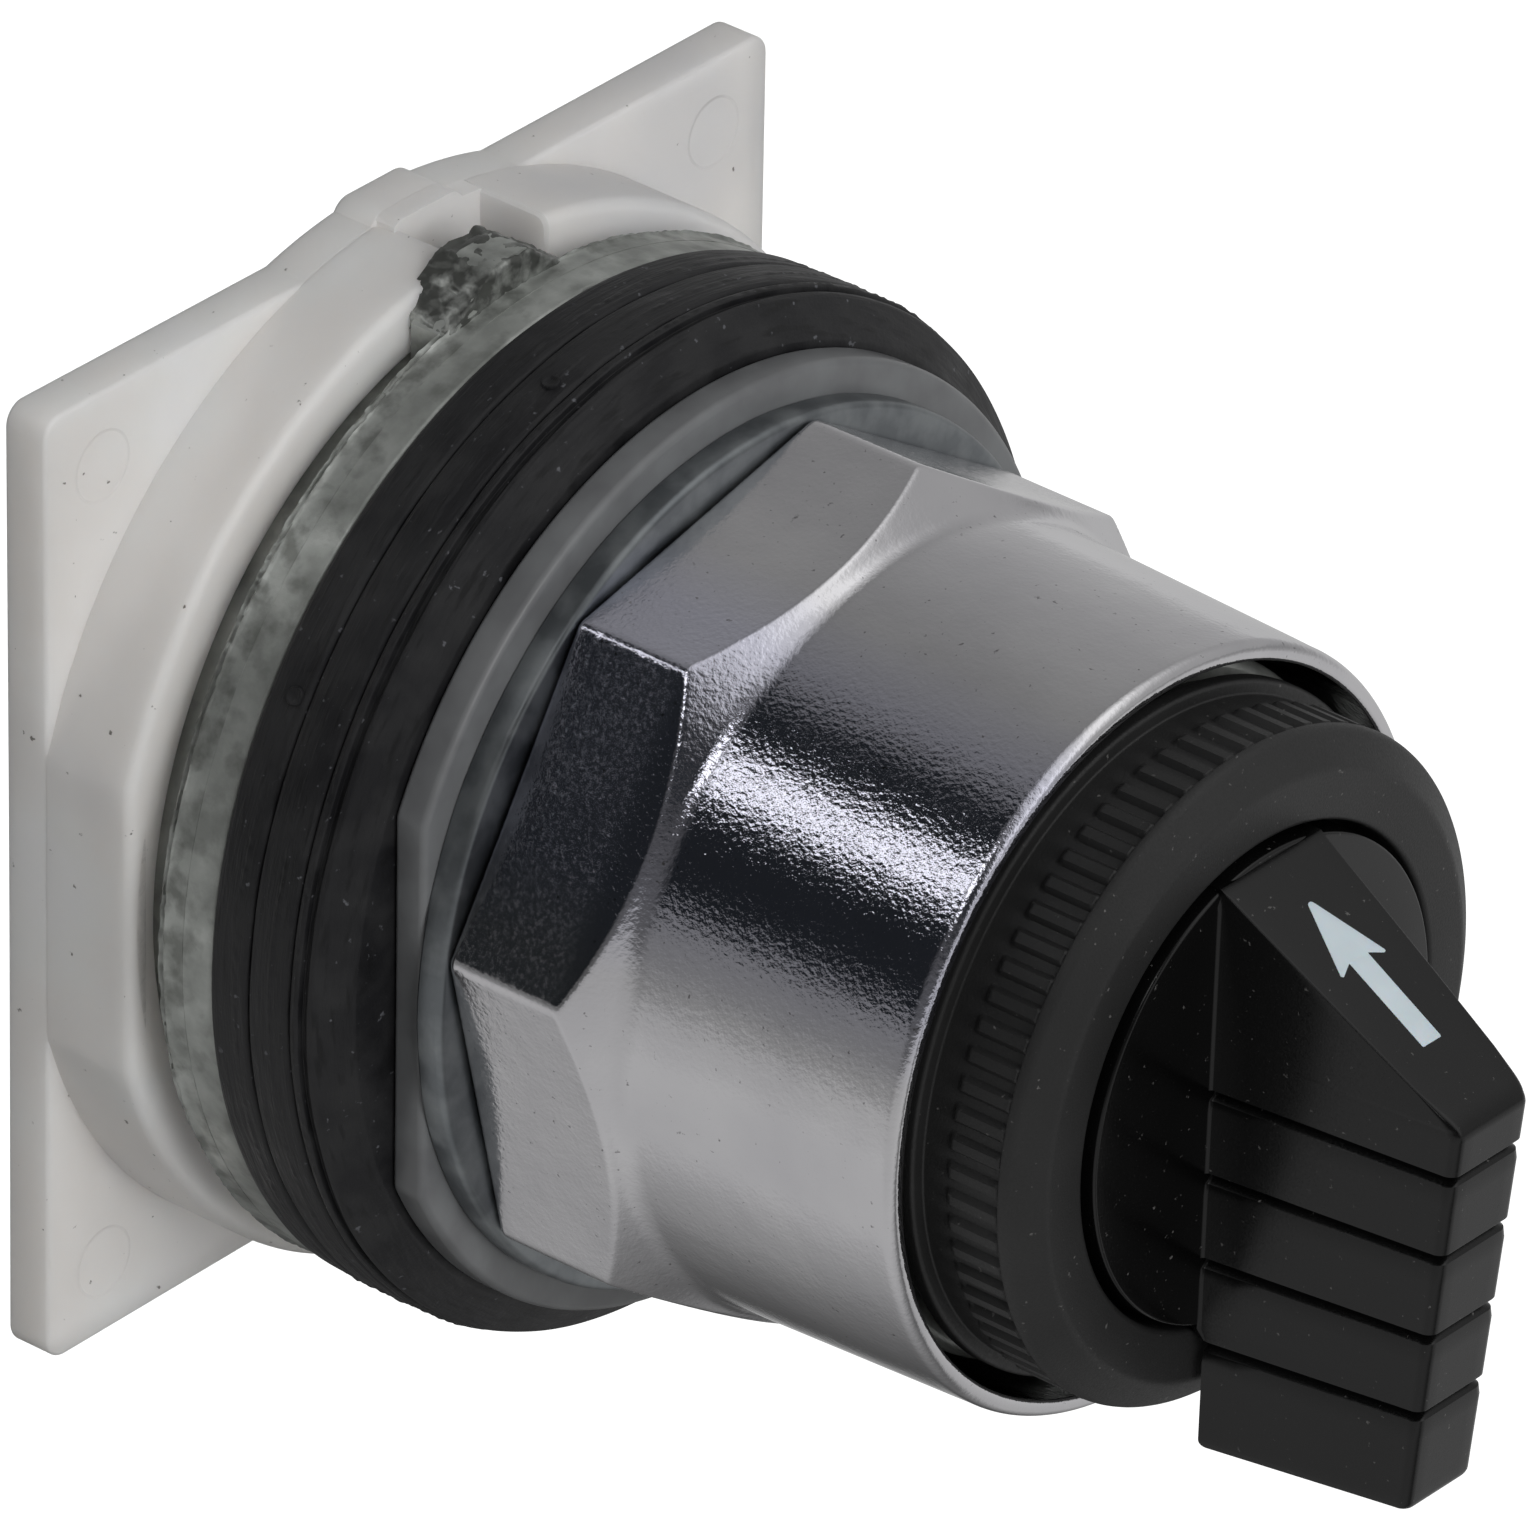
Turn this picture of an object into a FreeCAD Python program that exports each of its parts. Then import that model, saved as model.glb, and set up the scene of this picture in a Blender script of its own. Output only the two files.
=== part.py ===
import FreeCAD, Part
import math
import os

# Selector switch operator for a 30.5 mm panel hole: three positions, lever up is the middle one.
# Origin: centre of the panel hole, on the plane where the panel's rear face meets the front gasket.
# +Z up, the switch axis runs along Y, the lever faces -Y. Every size is in millimetres.

Vector = FreeCAD.Vector
AXIS = Vector(0, 1, 0)

# Driving sizes: general fits
press_gap = 0.05            # between pieces that are pressed or clamped together
running_gap = 0.08          # radial gap of a shaft in its bearing
free_gap = 0.3              # between surfaces that pass each other without touching
screw_gap = 0.06            # radial gap of a screw in its tapped hole
key_gap = 0.04              # gap of a D-shaped bore around the spindle
small_round = 0.3           # round of most outer edges
fine_round = 0.2            # round of thin rims and washers
over = 1.0                  # how far a cutter runs past the face that it opens

# Driving sizes: gasket stack, from the flange forward
gasket_rear_thickness = 2.1
gasket_middle_thickness = 2.2
gasket_front_thickness = 2.1
gasket_overhang = 0.3       # how far the gaskets stand out beyond the flange
gasket_bevel_width = 1.7
gasket_bevel_length = 1.0
gasket_groove_depth = 0.3
gasket_groove_width = 0.35
gasket_bore_gap = 0.2
gate_nub_radius = 0.35
gate_nub_height = 0.15      # above the gasket's rim
gate_nub_sink = 0.5         # how deep its foot runs into the gasket
middle_nub_angle = 14.9     # from the top towards -X
rear_nub_angle = 57.0

# Driving sizes: die-cast body
barrel_radius = 15.0
barrel_front_length = 27.9  # from the flange's front face to the end of the thread
neck_radius = 13.2
neck_length = 3.9
flange_overhang = 0.25      # how far its rim stands out beyond the plate's sides
flange_thickness = 2.7
flange_bevel = 0.8
skirt_inset = 1.9           # from the flange's rim to the skirt
skirt_wall = 3.0
skirt_step = 0.9            # bevel between flange and skirt
chamber_radius = 12.2
bearing_wall_length = 11.4
lug_foot = (-5.4, 1.7)      # left and right end of the locating lug's foot
lug_top = (-2.6, -0.4)      # and of its top
lug_height = 1.35           # above the flange's rim
lug_front_step = 2.3        # from the flange's front face to the lug's
lug_front_slope = 0.3       # how far its front leans back
lug_root_depth = 3.0        # how deep its foot runs into the rim
lug_foot_drop = 0.8         # from the rim's top to the foot's ends
lug_tongue_half_width = 2.05
lug_tongue_top_half_width = 1.5
lug_tongue_drop = 0.8       # from the rim's top to the tongue's
lug_tongue_gap = 1.9        # from the tongue's rear end to the plate
keyway_width = 4.0
keyway_depth = 1.1
seal_section_radius = 0.75
seal_groove_width = 1.8
seal_depth_from_front = 3.4

# Driving sizes: rear housing
plate_side = 43.7
plate_thickness = 2.2
plate_corner_round = 0.8
collar_overhang = 0.95      # how far the collar stands out above and below the plate
collar_height = 4.45
collar_gap = 0.15           # around the skirt
collar_front_round = 0.5
collar_bore_round = 0.25
collar_stand = 4.6          # from the flange's front face to the collar's
notch_half_width = 2.45
notch_offset = 0.6
notch_floor = 0.9
notch_pad_half_width = 2.2  # pad behind the notch, at the top of the collar
notch_pad_offset = -0.2
notch_pad_height = 0.35     # above the collar
pin_mark_radius = 1.6       # shallow marks of the mould's ejector pins, one at each corner
pin_mark_depth = 0.05
pin_mark_inset = 3.3        # from the plate's sides

# Driving sizes: screws
housing_screw_radius = 1.5
housing_screw_head_radius = 2.8
housing_screw_length = 7.0
housing_screw_offset = 11.3
recess_half_length = 1.5
recess_half_width = 0.3
recess_depth = 0.9
contact_screw_hole_radius = 2.1
contact_screw_hole_depth = 7.5
contact_screw_spacing = 29.6
boss_wall = 1.3

# Driving sizes: clamp
washer_bore_gap = 0.35
trim_washer_width = 5.4     # from the barrel to its rim
trim_washer_thickness = 1.6
trim_washer_flat_depth = 1.9
thrust_washer_width = 4.0
thrust_washer_thickness = 1.3
key_tab_gap = 0.3
nut_corner_height = 2.05    # of the octagon's corners above the sleeve
nut_corner_angle = 35.7     # of one corner, from +X towards +Z
nut_hex_length = 5.65       # length of the octagon's corner edges
nut_thread_gap = 0.15
nut_thread_length = 9.5
nut_sleeve_gap = 0.6        # from the thread to the sleeve's bore
nut_sleeve_base_wall = 1.3
nut_sleeve_tip_wall = 0.8
nut_length = 21.1
nut_blend_radius = 4.0
nut_corner_round = 0.35
nut_lip_round = 0.38

# Driving sizes: bezel
bezel_rib_radius = 14.4
bezel_root_radius = 14.12
bezel_rib_count = 72
bezel_rib_length = 2.8
bezel_rib_share = 0.54      # of the pitch that a rib's foot takes
bezel_crest_share = 0.7     # of the foot's width that its crest has
bezel_rim_radius = 14.75
bezel_rim_thickness = 0.8
bezel_face_radius = 12.95
bezel_hole_radius = 10.75
bezel_shelf_thickness = 3.65
bezel_shoulder_length = 1.4
bezel_chamfer_length = 1.0

# Driving sizes: knob and lever
disc_radius = 10.4
disc_thickness = 3.2
disc_proud = 0.3
hub_radius = 7.0
lever_slope_start_height = 10.1
lever_front_top_height = 3.2
lever_front_top_reach = 11.6
lever_front_bottom_reach = 9.5
lever_foot_height = -15.4
lever_overhang_gap = 0.55
lever_root_sink = 1.0       # how deep its root runs into the disc
lever_root_inset = 0.6      # of the root's lower end from the disc's edge
lever_root_half_width = 3.3
lever_draft = 0.095
lever_side_taper = 0.02
lever_edge_round = 0.35
lever_nose_round = 0.9
lever_foot_round = 0.8
groove_count = 4
groove_first_height = 0.85
groove_pitch = 3.81
groove_width = 0.4
groove_depth = 0.42
arrow_start = 2.05
arrow_length = 7.65
arrow_head_length = 3.3
arrow_head_width = 2.85
arrow_shaft_width = 1.1
arrow_recess = 0.4
arrow_sink = 0.06
arrow_gap = 0.03            # around the arrow in its recess

# Driving sizes: spindle and its parts
spindle_radius = 3.2
spindle_flat = 2.4
spindle_knob_depth = 12.9
spindle_screw_radius = 1.25
spindle_screw_head_radius = 4.3
spindle_screw_head_height = 1.9
spindle_screw_length = 8.0
glide_washer_thickness = 0.4
glide_washer_radius = 9.6
wave_inner_radius = 7.3
wave_outer_radius = 8.5
wave_thickness = 0.3
wave_height = 0.3
wave_count = 3

# Driving sizes: detent
wheel_radius = 8.6
wheel_length = 5.0
wheel_notch_depth = 0.3
wheel_notch_radius = 1.9
wheel_notch_count = 8
stop_tab_radius = 11.8
stop_tab_half_angle = 6.0
stop_tab_thickness = 2.0
stop_half_width = 0.8
stop_inner_radius = 11.0
turn_limit = 45.0
stop_play_angle = 1.2
pin_radius = 1.4
pin_length = 3.0
pin_boss_wall = 1.2
pin_bore_end = 13.9
pin_spring_wire = 0.2
pin_spring_turns = 3
pin_ride_gap = 0.06

# Driving sizes: cam and plungers
cam_radius = 10.6
cam_hub_radius = 4.6
cam_hub_length = 7.0
cam_seat_thickness = 3.3
cam_centre_thickness = 5.0
cam_slope = 0.265
plunger_offset = 8.0
plunger_radius = 1.9
plunger_collar_radius = 3.1
plunger_collar_thickness = 1.0
plunger_collar_depth = 3.6
plunger_tip_gap = 0.15
plunger_rear_stand = 1.0
plunger_spring_wire = 0.3
plunger_spring_turns = 4

# Radii that follow from the sizes above
flange_radius = plate_side / 2 + flange_overhang
skirt_radius = flange_radius - skirt_inset
skirt_bore_radius = skirt_radius - skirt_wall
collar_bore_radius = skirt_radius + collar_gap
collar_radius = plate_side / 2 + collar_overhang
gasket_radius = flange_radius + gasket_overhang
gasket_front_radius = gasket_radius - gasket_bevel_width
washer_bore_radius = barrel_radius + washer_bore_gap
trim_washer_radius = barrel_radius + trim_washer_width
trim_washer_flat = trim_washer_radius - trim_washer_flat_depth
thrust_washer_radius = barrel_radius + thrust_washer_width
nut_sleeve_bore_radius = barrel_radius + nut_sleeve_gap
nut_sleeve_base_radius = nut_sleeve_bore_radius + nut_sleeve_base_wall
nut_sleeve_tip_radius = nut_sleeve_bore_radius + nut_sleeve_tip_wall
nut_corner_radius = nut_sleeve_base_radius + nut_corner_height

# Stations along the axis, worked out from the sizes above (+Y is to the rear)
flange_front = gasket_rear_thickness + gasket_middle_thickness + gasket_front_thickness
flange_rear = flange_front + flange_thickness
thread_end = flange_front - barrel_front_length
barrel_front = thread_end - neck_length
bearing_rear = barrel_front + bearing_wall_length
trim_front = -trim_washer_thickness
thrust_front = trim_front - thrust_washer_thickness
nut_rear = thrust_front - press_gap
nut_front = nut_rear - nut_length
bezel_shelf = barrel_front - press_gap
bezel_face = bezel_shelf - bezel_shelf_thickness
disc_face = bezel_face - disc_proud
disc_rear = disc_face + disc_thickness
hub_rear = bearing_rear - free_gap
wave_front = bearing_rear + press_gap
wave_rear = wave_front + wave_thickness + 2 * wave_height
wheel_front = wave_rear + press_gap
wheel_rear = wheel_front + wheel_length
pin_station = wheel_front + wheel_length / 2
cam_front = wheel_rear + cam_hub_length
cam_seat = cam_front + cam_seat_thickness
cam_face = cam_front + cam_centre_thickness
spindle_rear = cam_seat - press_gap
tip_centre = cam_face + (plunger_radius + plunger_tip_gap) * math.hypot(1, cam_slope)
plunger_collar_front = tip_centre + plunger_collar_depth
plunger_collar_rear = plunger_collar_front + plunger_collar_thickness
collar_front = flange_front + collar_stand
plate_front = collar_front + collar_height
plate_rear = plate_front + plate_thickness
skirt_rear = plate_front - press_gap
plunger_rear = plate_rear + plunger_rear_stand


def corner_arc(before, corner, after, radius):
    # tangent points and middle point of a round of the given radius at one corner of an outline
    to_before = (before - corner).normalize()
    to_after = (after - corner).normalize()
    half = to_before.getAngle(to_after) / 2
    reach = radius / math.tan(half)
    centre = corner + (to_before + to_after).normalize() * (radius / math.sin(half))
    start = corner + to_before * reach
    end = corner + to_after * reach
    middle = centre + (corner - centre).normalize() * radius
    return start, middle, end


def outline(points):
    # closed wire through (position, round radius) pairs; a radius of 0 leaves a sharp corner
    edges = []
    ends = []
    count = len(points)
    for i in range(count):
        corner, radius = points[i]
        if radius > 0:
            before = points[i - 1][0]
            after = points[(i + 1) % count][0]
            start, middle, end = corner_arc(before, corner, after, radius)
            ends.append((start, end))
            edges.append(Part.Arc(start, middle, end).toShape())
        else:
            ends.append((corner, corner))
    for i in range(count):
        leave = ends[i][1]
        arrive = ends[(i + 1) % count][0]
        if (leave - arrive).Length > 1e-6:
            edges.append(Part.makeLine(leave, arrive))
    return Part.Wire(Part.__sortEdges__(edges))


def turned(profile):
    # solid of revolution about the switch axis from (radius, y, round) corners
    wire = outline([(Vector(radius, y, 0), rounding) for radius, y, rounding in profile])
    return Part.Face(wire).revolve(Vector(0, 0, 0), AXIS, 360)


def prism(corners, front, rear):
    # outline in the XZ plane, given as (x, z, round) corners, drawn out from one Y to another
    wire = outline([(Vector(x, front, z), rounding) for x, z, rounding in corners])
    return Part.Face(wire).extrude(Vector(0, rear - front, 0))


def side_prism(corners, half_width):
    # outline in the YZ plane, given as (y, z, round) corners, drawn out to both sides
    wire = outline([(Vector(-half_width, y, z), rounding) for y, z, rounding in corners])
    return Part.Face(wire).extrude(Vector(2 * half_width, 0, 0))


def rod(radius, front, rear, x=0.0, z=0.0):
    return Part.makeCylinder(radius, rear - front, Vector(x, front, z), AXIS)


def turn(shape, angle):
    # copy turned about the switch axis, seen from the front: positive goes from +Z towards -X
    copy = shape.copy()
    copy.rotate(Vector(0, 0, 0), AXIS, -angle)
    return copy


def slab(half_x, front, rear, low, high, x=0.0):
    corner = Vector(x - half_x, front, low)
    return Part.makeBox(2 * half_x, rear - front, high - low, corner)


def d_bore(front, rear):
    # hole for the spindle, with its flat to the top
    hole = rod(spindle_radius + key_gap, front, rear)
    side = spindle_radius + over
    return hole.cut(slab(side, front, rear, spindle_flat + key_gap, side))


def coil(mean_radius, wire_radius, length, turns):
    # compression spring along +Z from the origin plane, wire drawn as a six-sided bar
    height = length - 2 * wire_radius
    helix = Part.makeHelix(height / turns, height, mean_radius)
    points = []
    for i in range(7):
        angle = math.radians(60 * i)
        radial = mean_radius + wire_radius * math.cos(angle)
        points.append(Vector(radial, 0, wire_radius * math.sin(angle)))
    section = Part.makePolygon(points)
    spring = Part.Wire(helix).makePipeShell([section], True, True)
    spring.translate(Vector(0, 0, wire_radius))
    return spring


def screw_places():
    offset = housing_screw_offset
    return [(offset, -offset), (-offset, offset)]


def contact_places():
    return [(0, contact_screw_spacing / 2), (0, -contact_screw_spacing / 2)]


def locating_lug():
    # lug at the top of the rim, with a tongue that stands in the collar's notch
    root = flange_radius - lug_root_depth
    foot = flange_radius - lug_foot_drop
    top = flange_radius + lug_height
    tongue_top = flange_radius - lug_tongue_drop
    front = flange_front + lug_front_step
    rear = collar_front - fine_round
    block = prism([
        (lug_foot[0], root, 0),
        (lug_foot[0], foot, 0),
        (lug_top[0], top, 0.6),
        (lug_top[1], top, 0.8),
        (lug_foot[1], foot, 0),
        (lug_foot[1], root, 0),
    ], front, rear)
    lean = side_prism([
        (front, root, 0),
        (front, foot, 0),
        (front + lug_front_slope, top + small_round, 0),
        (rear, top + small_round, 0),
        (rear, root, 0),
    ], -lug_foot[0] + over)
    tongue = prism([
        (notch_offset - lug_tongue_half_width, root, 0),
        (notch_offset - lug_tongue_top_half_width, tongue_top, 0.3),
        (notch_offset + lug_tongue_top_half_width, tongue_top, 0.3),
        (notch_offset + lug_tongue_half_width, root, 0),
    ], front + lug_front_slope, plate_front - lug_tongue_gap)
    return block.common(lean).fuse(tongue)


def make_operator_body():
    body = turned([
        (hub_radius + running_gap, barrel_front, 0),
        (neck_radius, barrel_front, 0.3),
        (neck_radius, thread_end, 0),
        (barrel_radius, thread_end, 0.5),
        (barrel_radius, flange_front, 0),
        (flange_radius, flange_front, 0.3),
        (flange_radius, flange_rear - flange_bevel, 0.4),
        (skirt_radius, flange_rear + skirt_step - flange_bevel, 0.3),
        (skirt_radius, skirt_rear, 0),
        (skirt_bore_radius, skirt_rear, 0),
        (skirt_bore_radius, flange_rear + skirt_step, 1.2),
        (chamber_radius, flange_rear + skirt_step, 0),
        (chamber_radius, bearing_rear, 0.6),
        (hub_radius + running_gap, bearing_rear, 0),
    ])
    # screw bosses run into the skirt wall
    skirt_inside = rod(skirt_radius - 0.5, flange_rear, skirt_rear)
    for places, hole_radius in ((screw_places(), housing_screw_radius),
                                (contact_places(), contact_screw_hole_radius)):
        for x, z in places:
            boss = rod(hole_radius + boss_wall, flange_rear, skirt_rear, x, z)
            body = body.fuse(boss.common(skirt_inside))
    body = body.fuse(locating_lug())
    # bosses that carry the detent pins, above and below the wheel
    boss_radius = pin_radius + running_gap + pin_boss_wall
    boss_inner = wheel_radius + free_gap
    for side in (1, -1):
        boss = Part.makeCylinder(boss_radius, chamber_radius + over - boss_inner,
                                 Vector(0, pin_station, side * boss_inner), Vector(0, 0, side))
        body = body.fuse(boss)
    for side in (1, -1):
        bore = Part.makeCylinder(pin_radius + running_gap, pin_bore_end - boss_inner + over,
                                 Vector(0, pin_station, side * (boss_inner - over)), Vector(0, 0, side))
        body = body.cut(bore)
    # ribs that stop the cam's tab
    stop_angle = turn_limit + stop_tab_half_angle + stop_play_angle
    for side in (1, -1):
        rib = slab(stop_half_width, cam_front - free_gap, cam_front + stop_tab_thickness + free_gap,
                   stop_inner_radius, chamber_radius + over, side * stop_half_width)
        body = body.fuse(turn(rib, -side * stop_angle))
    # seal groove in the bearing bore
    seal_front = barrel_front + seal_depth_from_front
    groove = rod(hub_radius + running_gap + 2 * seal_section_radius + press_gap,
                 seal_front, seal_front + seal_groove_width)
    body = body.cut(groove)
    # keyway along the top of the thread for the washer's tab
    keyway = slab(keyway_width / 2, thread_end - over, flange_front - press_gap,
                  barrel_radius - keyway_depth, barrel_radius + over)
    body = body.cut(keyway)
    for x, z in screw_places():
        bottom = plate_rear - housing_screw_length - press_gap
        body = body.cut(rod(housing_screw_radius + screw_gap, bottom, plate_front, x, z))
    for x, z in contact_places():
        bottom = plate_rear - contact_screw_hole_depth
        body = body.cut(rod(contact_screw_hole_radius, bottom, plate_front, x, z))
    return body.removeSplitter()


def make_rear_housing():
    half = plate_side / 2
    square = [(-half, -half, plate_corner_round), (half, -half, plate_corner_round),
              (half, half, plate_corner_round), (-half, half, plate_corner_round)]
    plate = prism(square, plate_front, plate_rear)
    # the collar runs through the plate and stands out above and below it
    collar = turned([
        (0, plate_rear, 0),
        (collar_radius, plate_rear, 0),
        (collar_radius, collar_front, collar_front_round),
        (collar_bore_radius, collar_front, collar_bore_round),
        (collar_bore_radius, plate_front, 0),
        (0, plate_front, 0),
    ])
    pad_top = collar_radius + notch_pad_height
    pad = prism([
        (notch_pad_offset - notch_pad_half_width, collar_bore_radius, 0),
        (notch_pad_offset - notch_pad_half_width, pad_top, 0.8),
        (notch_pad_offset + notch_pad_half_width, pad_top, 0.8),
        (notch_pad_offset + notch_pad_half_width, collar_bore_radius, 0),
    ], plate_front - notch_floor, plate_rear)
    collar = collar.fuse(pad)
    collar = collar.common(slab(half, collar_front, plate_rear, -pad_top, pad_top))
    housing = plate.fuse(collar)
    notch = slab(notch_half_width, collar_front - over, plate_front - notch_floor,
                 skirt_bore_radius, collar_radius + over, notch_offset)
    housing = housing.cut(notch)
    for side in (1, -1):
        housing = housing.cut(rod(plunger_radius + running_gap, plate_front - over, plate_rear + over,
                                  side * plunger_offset))
    for x, z in contact_places():
        housing = housing.cut(rod(contact_screw_hole_radius, plate_front - over, plate_rear + over, x, z))
    shank = housing_screw_radius + screw_gap
    head = housing_screw_head_radius + screw_gap
    for x, z in screw_places():
        housing = housing.cut(rod(shank, plate_front - over, plate_rear + over, x, z))
        sink = Part.makeCone(shank, head, head - shank,
                             Vector(x, plate_rear - (head - shank), z), AXIS)
        housing = housing.cut(sink)
    mark = half - pin_mark_inset
    for x in (mark, -mark):
        for z in (mark, -mark):
            housing = housing.cut(rod(pin_mark_radius, plate_front - over, plate_front + pin_mark_depth, x, z))
    return housing.removeSplitter()


def make_housing_screws():
    screws = []
    for x, z in screw_places():
        head_height = housing_screw_head_radius - housing_screw_radius
        end = plate_rear - housing_screw_length
        shank = rod(housing_screw_radius, end, plate_rear - press_gap, x, z)
        head = Part.makeCone(housing_screw_radius, housing_screw_head_radius, head_height,
                             Vector(x, plate_rear - head_height - press_gap, z), AXIS)
        screw = shank.fuse(head).cut(cross_recess(plate_rear, x, z))
        screws.append(screw.removeSplitter())
    return Part.makeCompound(screws)


def cross_recess(rear, x, z):
    # cross-shaped driving recess, open to the rear
    front = rear - press_gap - recess_depth
    across = Part.makeBox(2 * recess_half_length, recess_depth + over, 2 * recess_half_width,
                          Vector(x - recess_half_length, front, z - recess_half_width))
    upright = Part.makeBox(2 * recess_half_width, recess_depth + over, 2 * recess_half_length,
                           Vector(x - recess_half_width, front, z - recess_half_length))
    return across.fuse(upright)


def make_gasket(front, rear, nub_angle):
    bore = barrel_radius + gasket_bore_gap
    gasket = turned([
        (bore, rear, 0),
        (gasket_radius, rear, small_round),
        (gasket_radius, front, small_round),
        (bore, front, 0),
    ])
    # small nub left by the mould's gate
    nub = Part.makeCylinder(gate_nub_radius, gate_nub_sink + gate_nub_height,
                            Vector(0, (front + rear) / 2, gasket_radius - gate_nub_sink), Vector(0, 0, 1))
    return gasket.fuse(turn(nub, nub_angle))


def make_gasket_front():
    rear = gasket_front_thickness
    bore = barrel_radius + gasket_bore_gap
    bevel = gasket_bevel_length
    groove_front = bevel + small_round
    groove_rear = groove_front + gasket_groove_width
    return turned([
        (bore, rear, 0),
        (gasket_radius, rear, 0.2),
        (gasket_radius, groove_rear, 0.08),
        (gasket_radius - gasket_groove_depth, groove_rear, 0),
        (gasket_radius - gasket_groove_depth, groove_front, 0),
        (gasket_radius - 0.1, groove_front, 0.08),
        (gasket_radius - 0.2, bevel, 0.3),
        (gasket_front_radius, press_gap, 0.25),
        (bore, press_gap, 0),
    ])


def make_trim_washer():
    washer = turned([
        (washer_bore_radius, 0, 0),
        (trim_washer_radius, 0, 0.2),
        (trim_washer_radius, trim_front, 0.3),
        (washer_bore_radius, trim_front, 0),
    ])
    reach = trim_washer_radius + over
    return washer.common(slab(trim_washer_flat, trim_front, 0, -reach, reach))


def make_thrust_washer():
    washer = turned([
        (washer_bore_radius, trim_front, 0),
        (thrust_washer_radius, trim_front, 0.15),
        (thrust_washer_radius, thrust_front, 0.3),
        (washer_bore_radius, thrust_front, 0),
    ])
    # tab that runs in the keyway, so the nut turns and the washer doesn't
    tab = slab(keyway_width / 2 - key_tab_gap, thrust_front, trim_front,
               barrel_radius - keyway_depth + key_tab_gap, washer_bore_radius + over)
    return washer.fuse(tab).removeSplitter()


def make_ring_nut():
    corner = nut_corner_radius
    corners = []
    for i in range(8):
        angle = math.radians(nut_corner_angle + 45 * i)
        corners.append((corner * math.cos(angle), corner * math.sin(angle), nut_corner_round))
    edge_front = nut_rear - nut_hex_length
    sleeve_start = edge_front - (corner - nut_sleeve_base_radius)
    octagon_front = sleeve_start - nut_blend_radius
    octagon = prism(corners, octagon_front, nut_rear)
    # one turned outline trims the octagon with a 45 degree cone and runs on into the sleeve
    cone_start = corner + 2 * over
    outer = turned([
        (0, nut_rear, 0),
        (cone_start, nut_rear, 0),
        (cone_start, edge_front + 2 * over, 0),
        (nut_sleeve_base_radius, sleeve_start, nut_blend_radius),
        (nut_sleeve_tip_radius, nut_front, nut_lip_round),
        (0, nut_front, 0),
    ])
    sleeve = rod(cone_start, nut_front - over, octagon_front)
    nut = outer.common(octagon.fuse(sleeve))
    thread_front = nut_rear - nut_thread_length
    thread_bore = barrel_radius + nut_thread_gap
    bore = turned([
        (0, nut_rear + over, 0),
        (thread_bore, nut_rear + over, 0),
        (thread_bore, thread_front, 0),
        (nut_sleeve_bore_radius, thread_front - (nut_sleeve_bore_radius - thread_bore), 0),
        (nut_sleeve_bore_radius, nut_front - over, 0),
        (0, nut_front - over, 0),
    ])
    return nut.cut(bore).removeSplitter()


def make_bezel_ring():
    sleeve_rear = thread_end - free_gap
    rim_front = nut_front + free_gap
    rim_rear = rim_front + bezel_rim_thickness
    shoulder = bezel_face + bezel_shoulder_length
    bore = neck_radius + press_gap
    ring = turned([
        (bore, sleeve_rear, 0),
        (bezel_root_radius, sleeve_rear, fine_round),
        (bezel_root_radius, rim_rear, 0),
        (bezel_rim_radius, rim_rear, fine_round),
        (bezel_rim_radius, rim_front, fine_round),
        (bezel_root_radius, rim_front, 0),
        (bezel_root_radius, shoulder, 0),
        (bezel_rib_radius, shoulder, 0),
        (bezel_rib_radius, bezel_face + bezel_chamfer_length, 0.5),
        (bezel_face_radius, bezel_face, 0.6),
        (bezel_hole_radius, bezel_face, fine_round),
        (bezel_hole_radius, bezel_shelf, 0),
        (bore, bezel_shelf, 0),
    ])
    # fine axial ribs around the rim
    pitch = 360 / bezel_rib_count
    foot = math.radians(pitch * bezel_rib_share / 2)
    crest = foot * bezel_crest_share
    rib_inside = bezel_root_radius - fine_round
    rib = prism([
        (-rib_inside * math.sin(foot), rib_inside, 0),
        (-bezel_rib_radius * math.sin(crest), bezel_rib_radius, 0),
        (bezel_rib_radius * math.sin(crest), bezel_rib_radius, 0),
        (rib_inside * math.sin(foot), rib_inside, 0),
    ], shoulder - fine_round, shoulder + bezel_rib_length)
    ribs = [turn(rib, pitch * i) for i in range(bezel_rib_count)]
    return ring.fuse(ribs).removeSplitter()


def slope_frame():
    # start of the lever's slope, its direction down the slope and its outward normal
    start = Vector(0, disc_face - 0.1, lever_slope_start_height)
    end = Vector(0, disc_face - lever_front_top_reach, lever_front_top_height)
    along = (end - start).normalize()
    normal = along.cross(Vector(1, 0, 0)).normalize()
    if normal.z < 0:
        normal = normal * -1
    return start, along, normal


def lever_half_width(reach, height):
    return (lever_root_half_width - lever_draft * reach
            + lever_side_taper * (height - lever_front_top_height))


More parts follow.
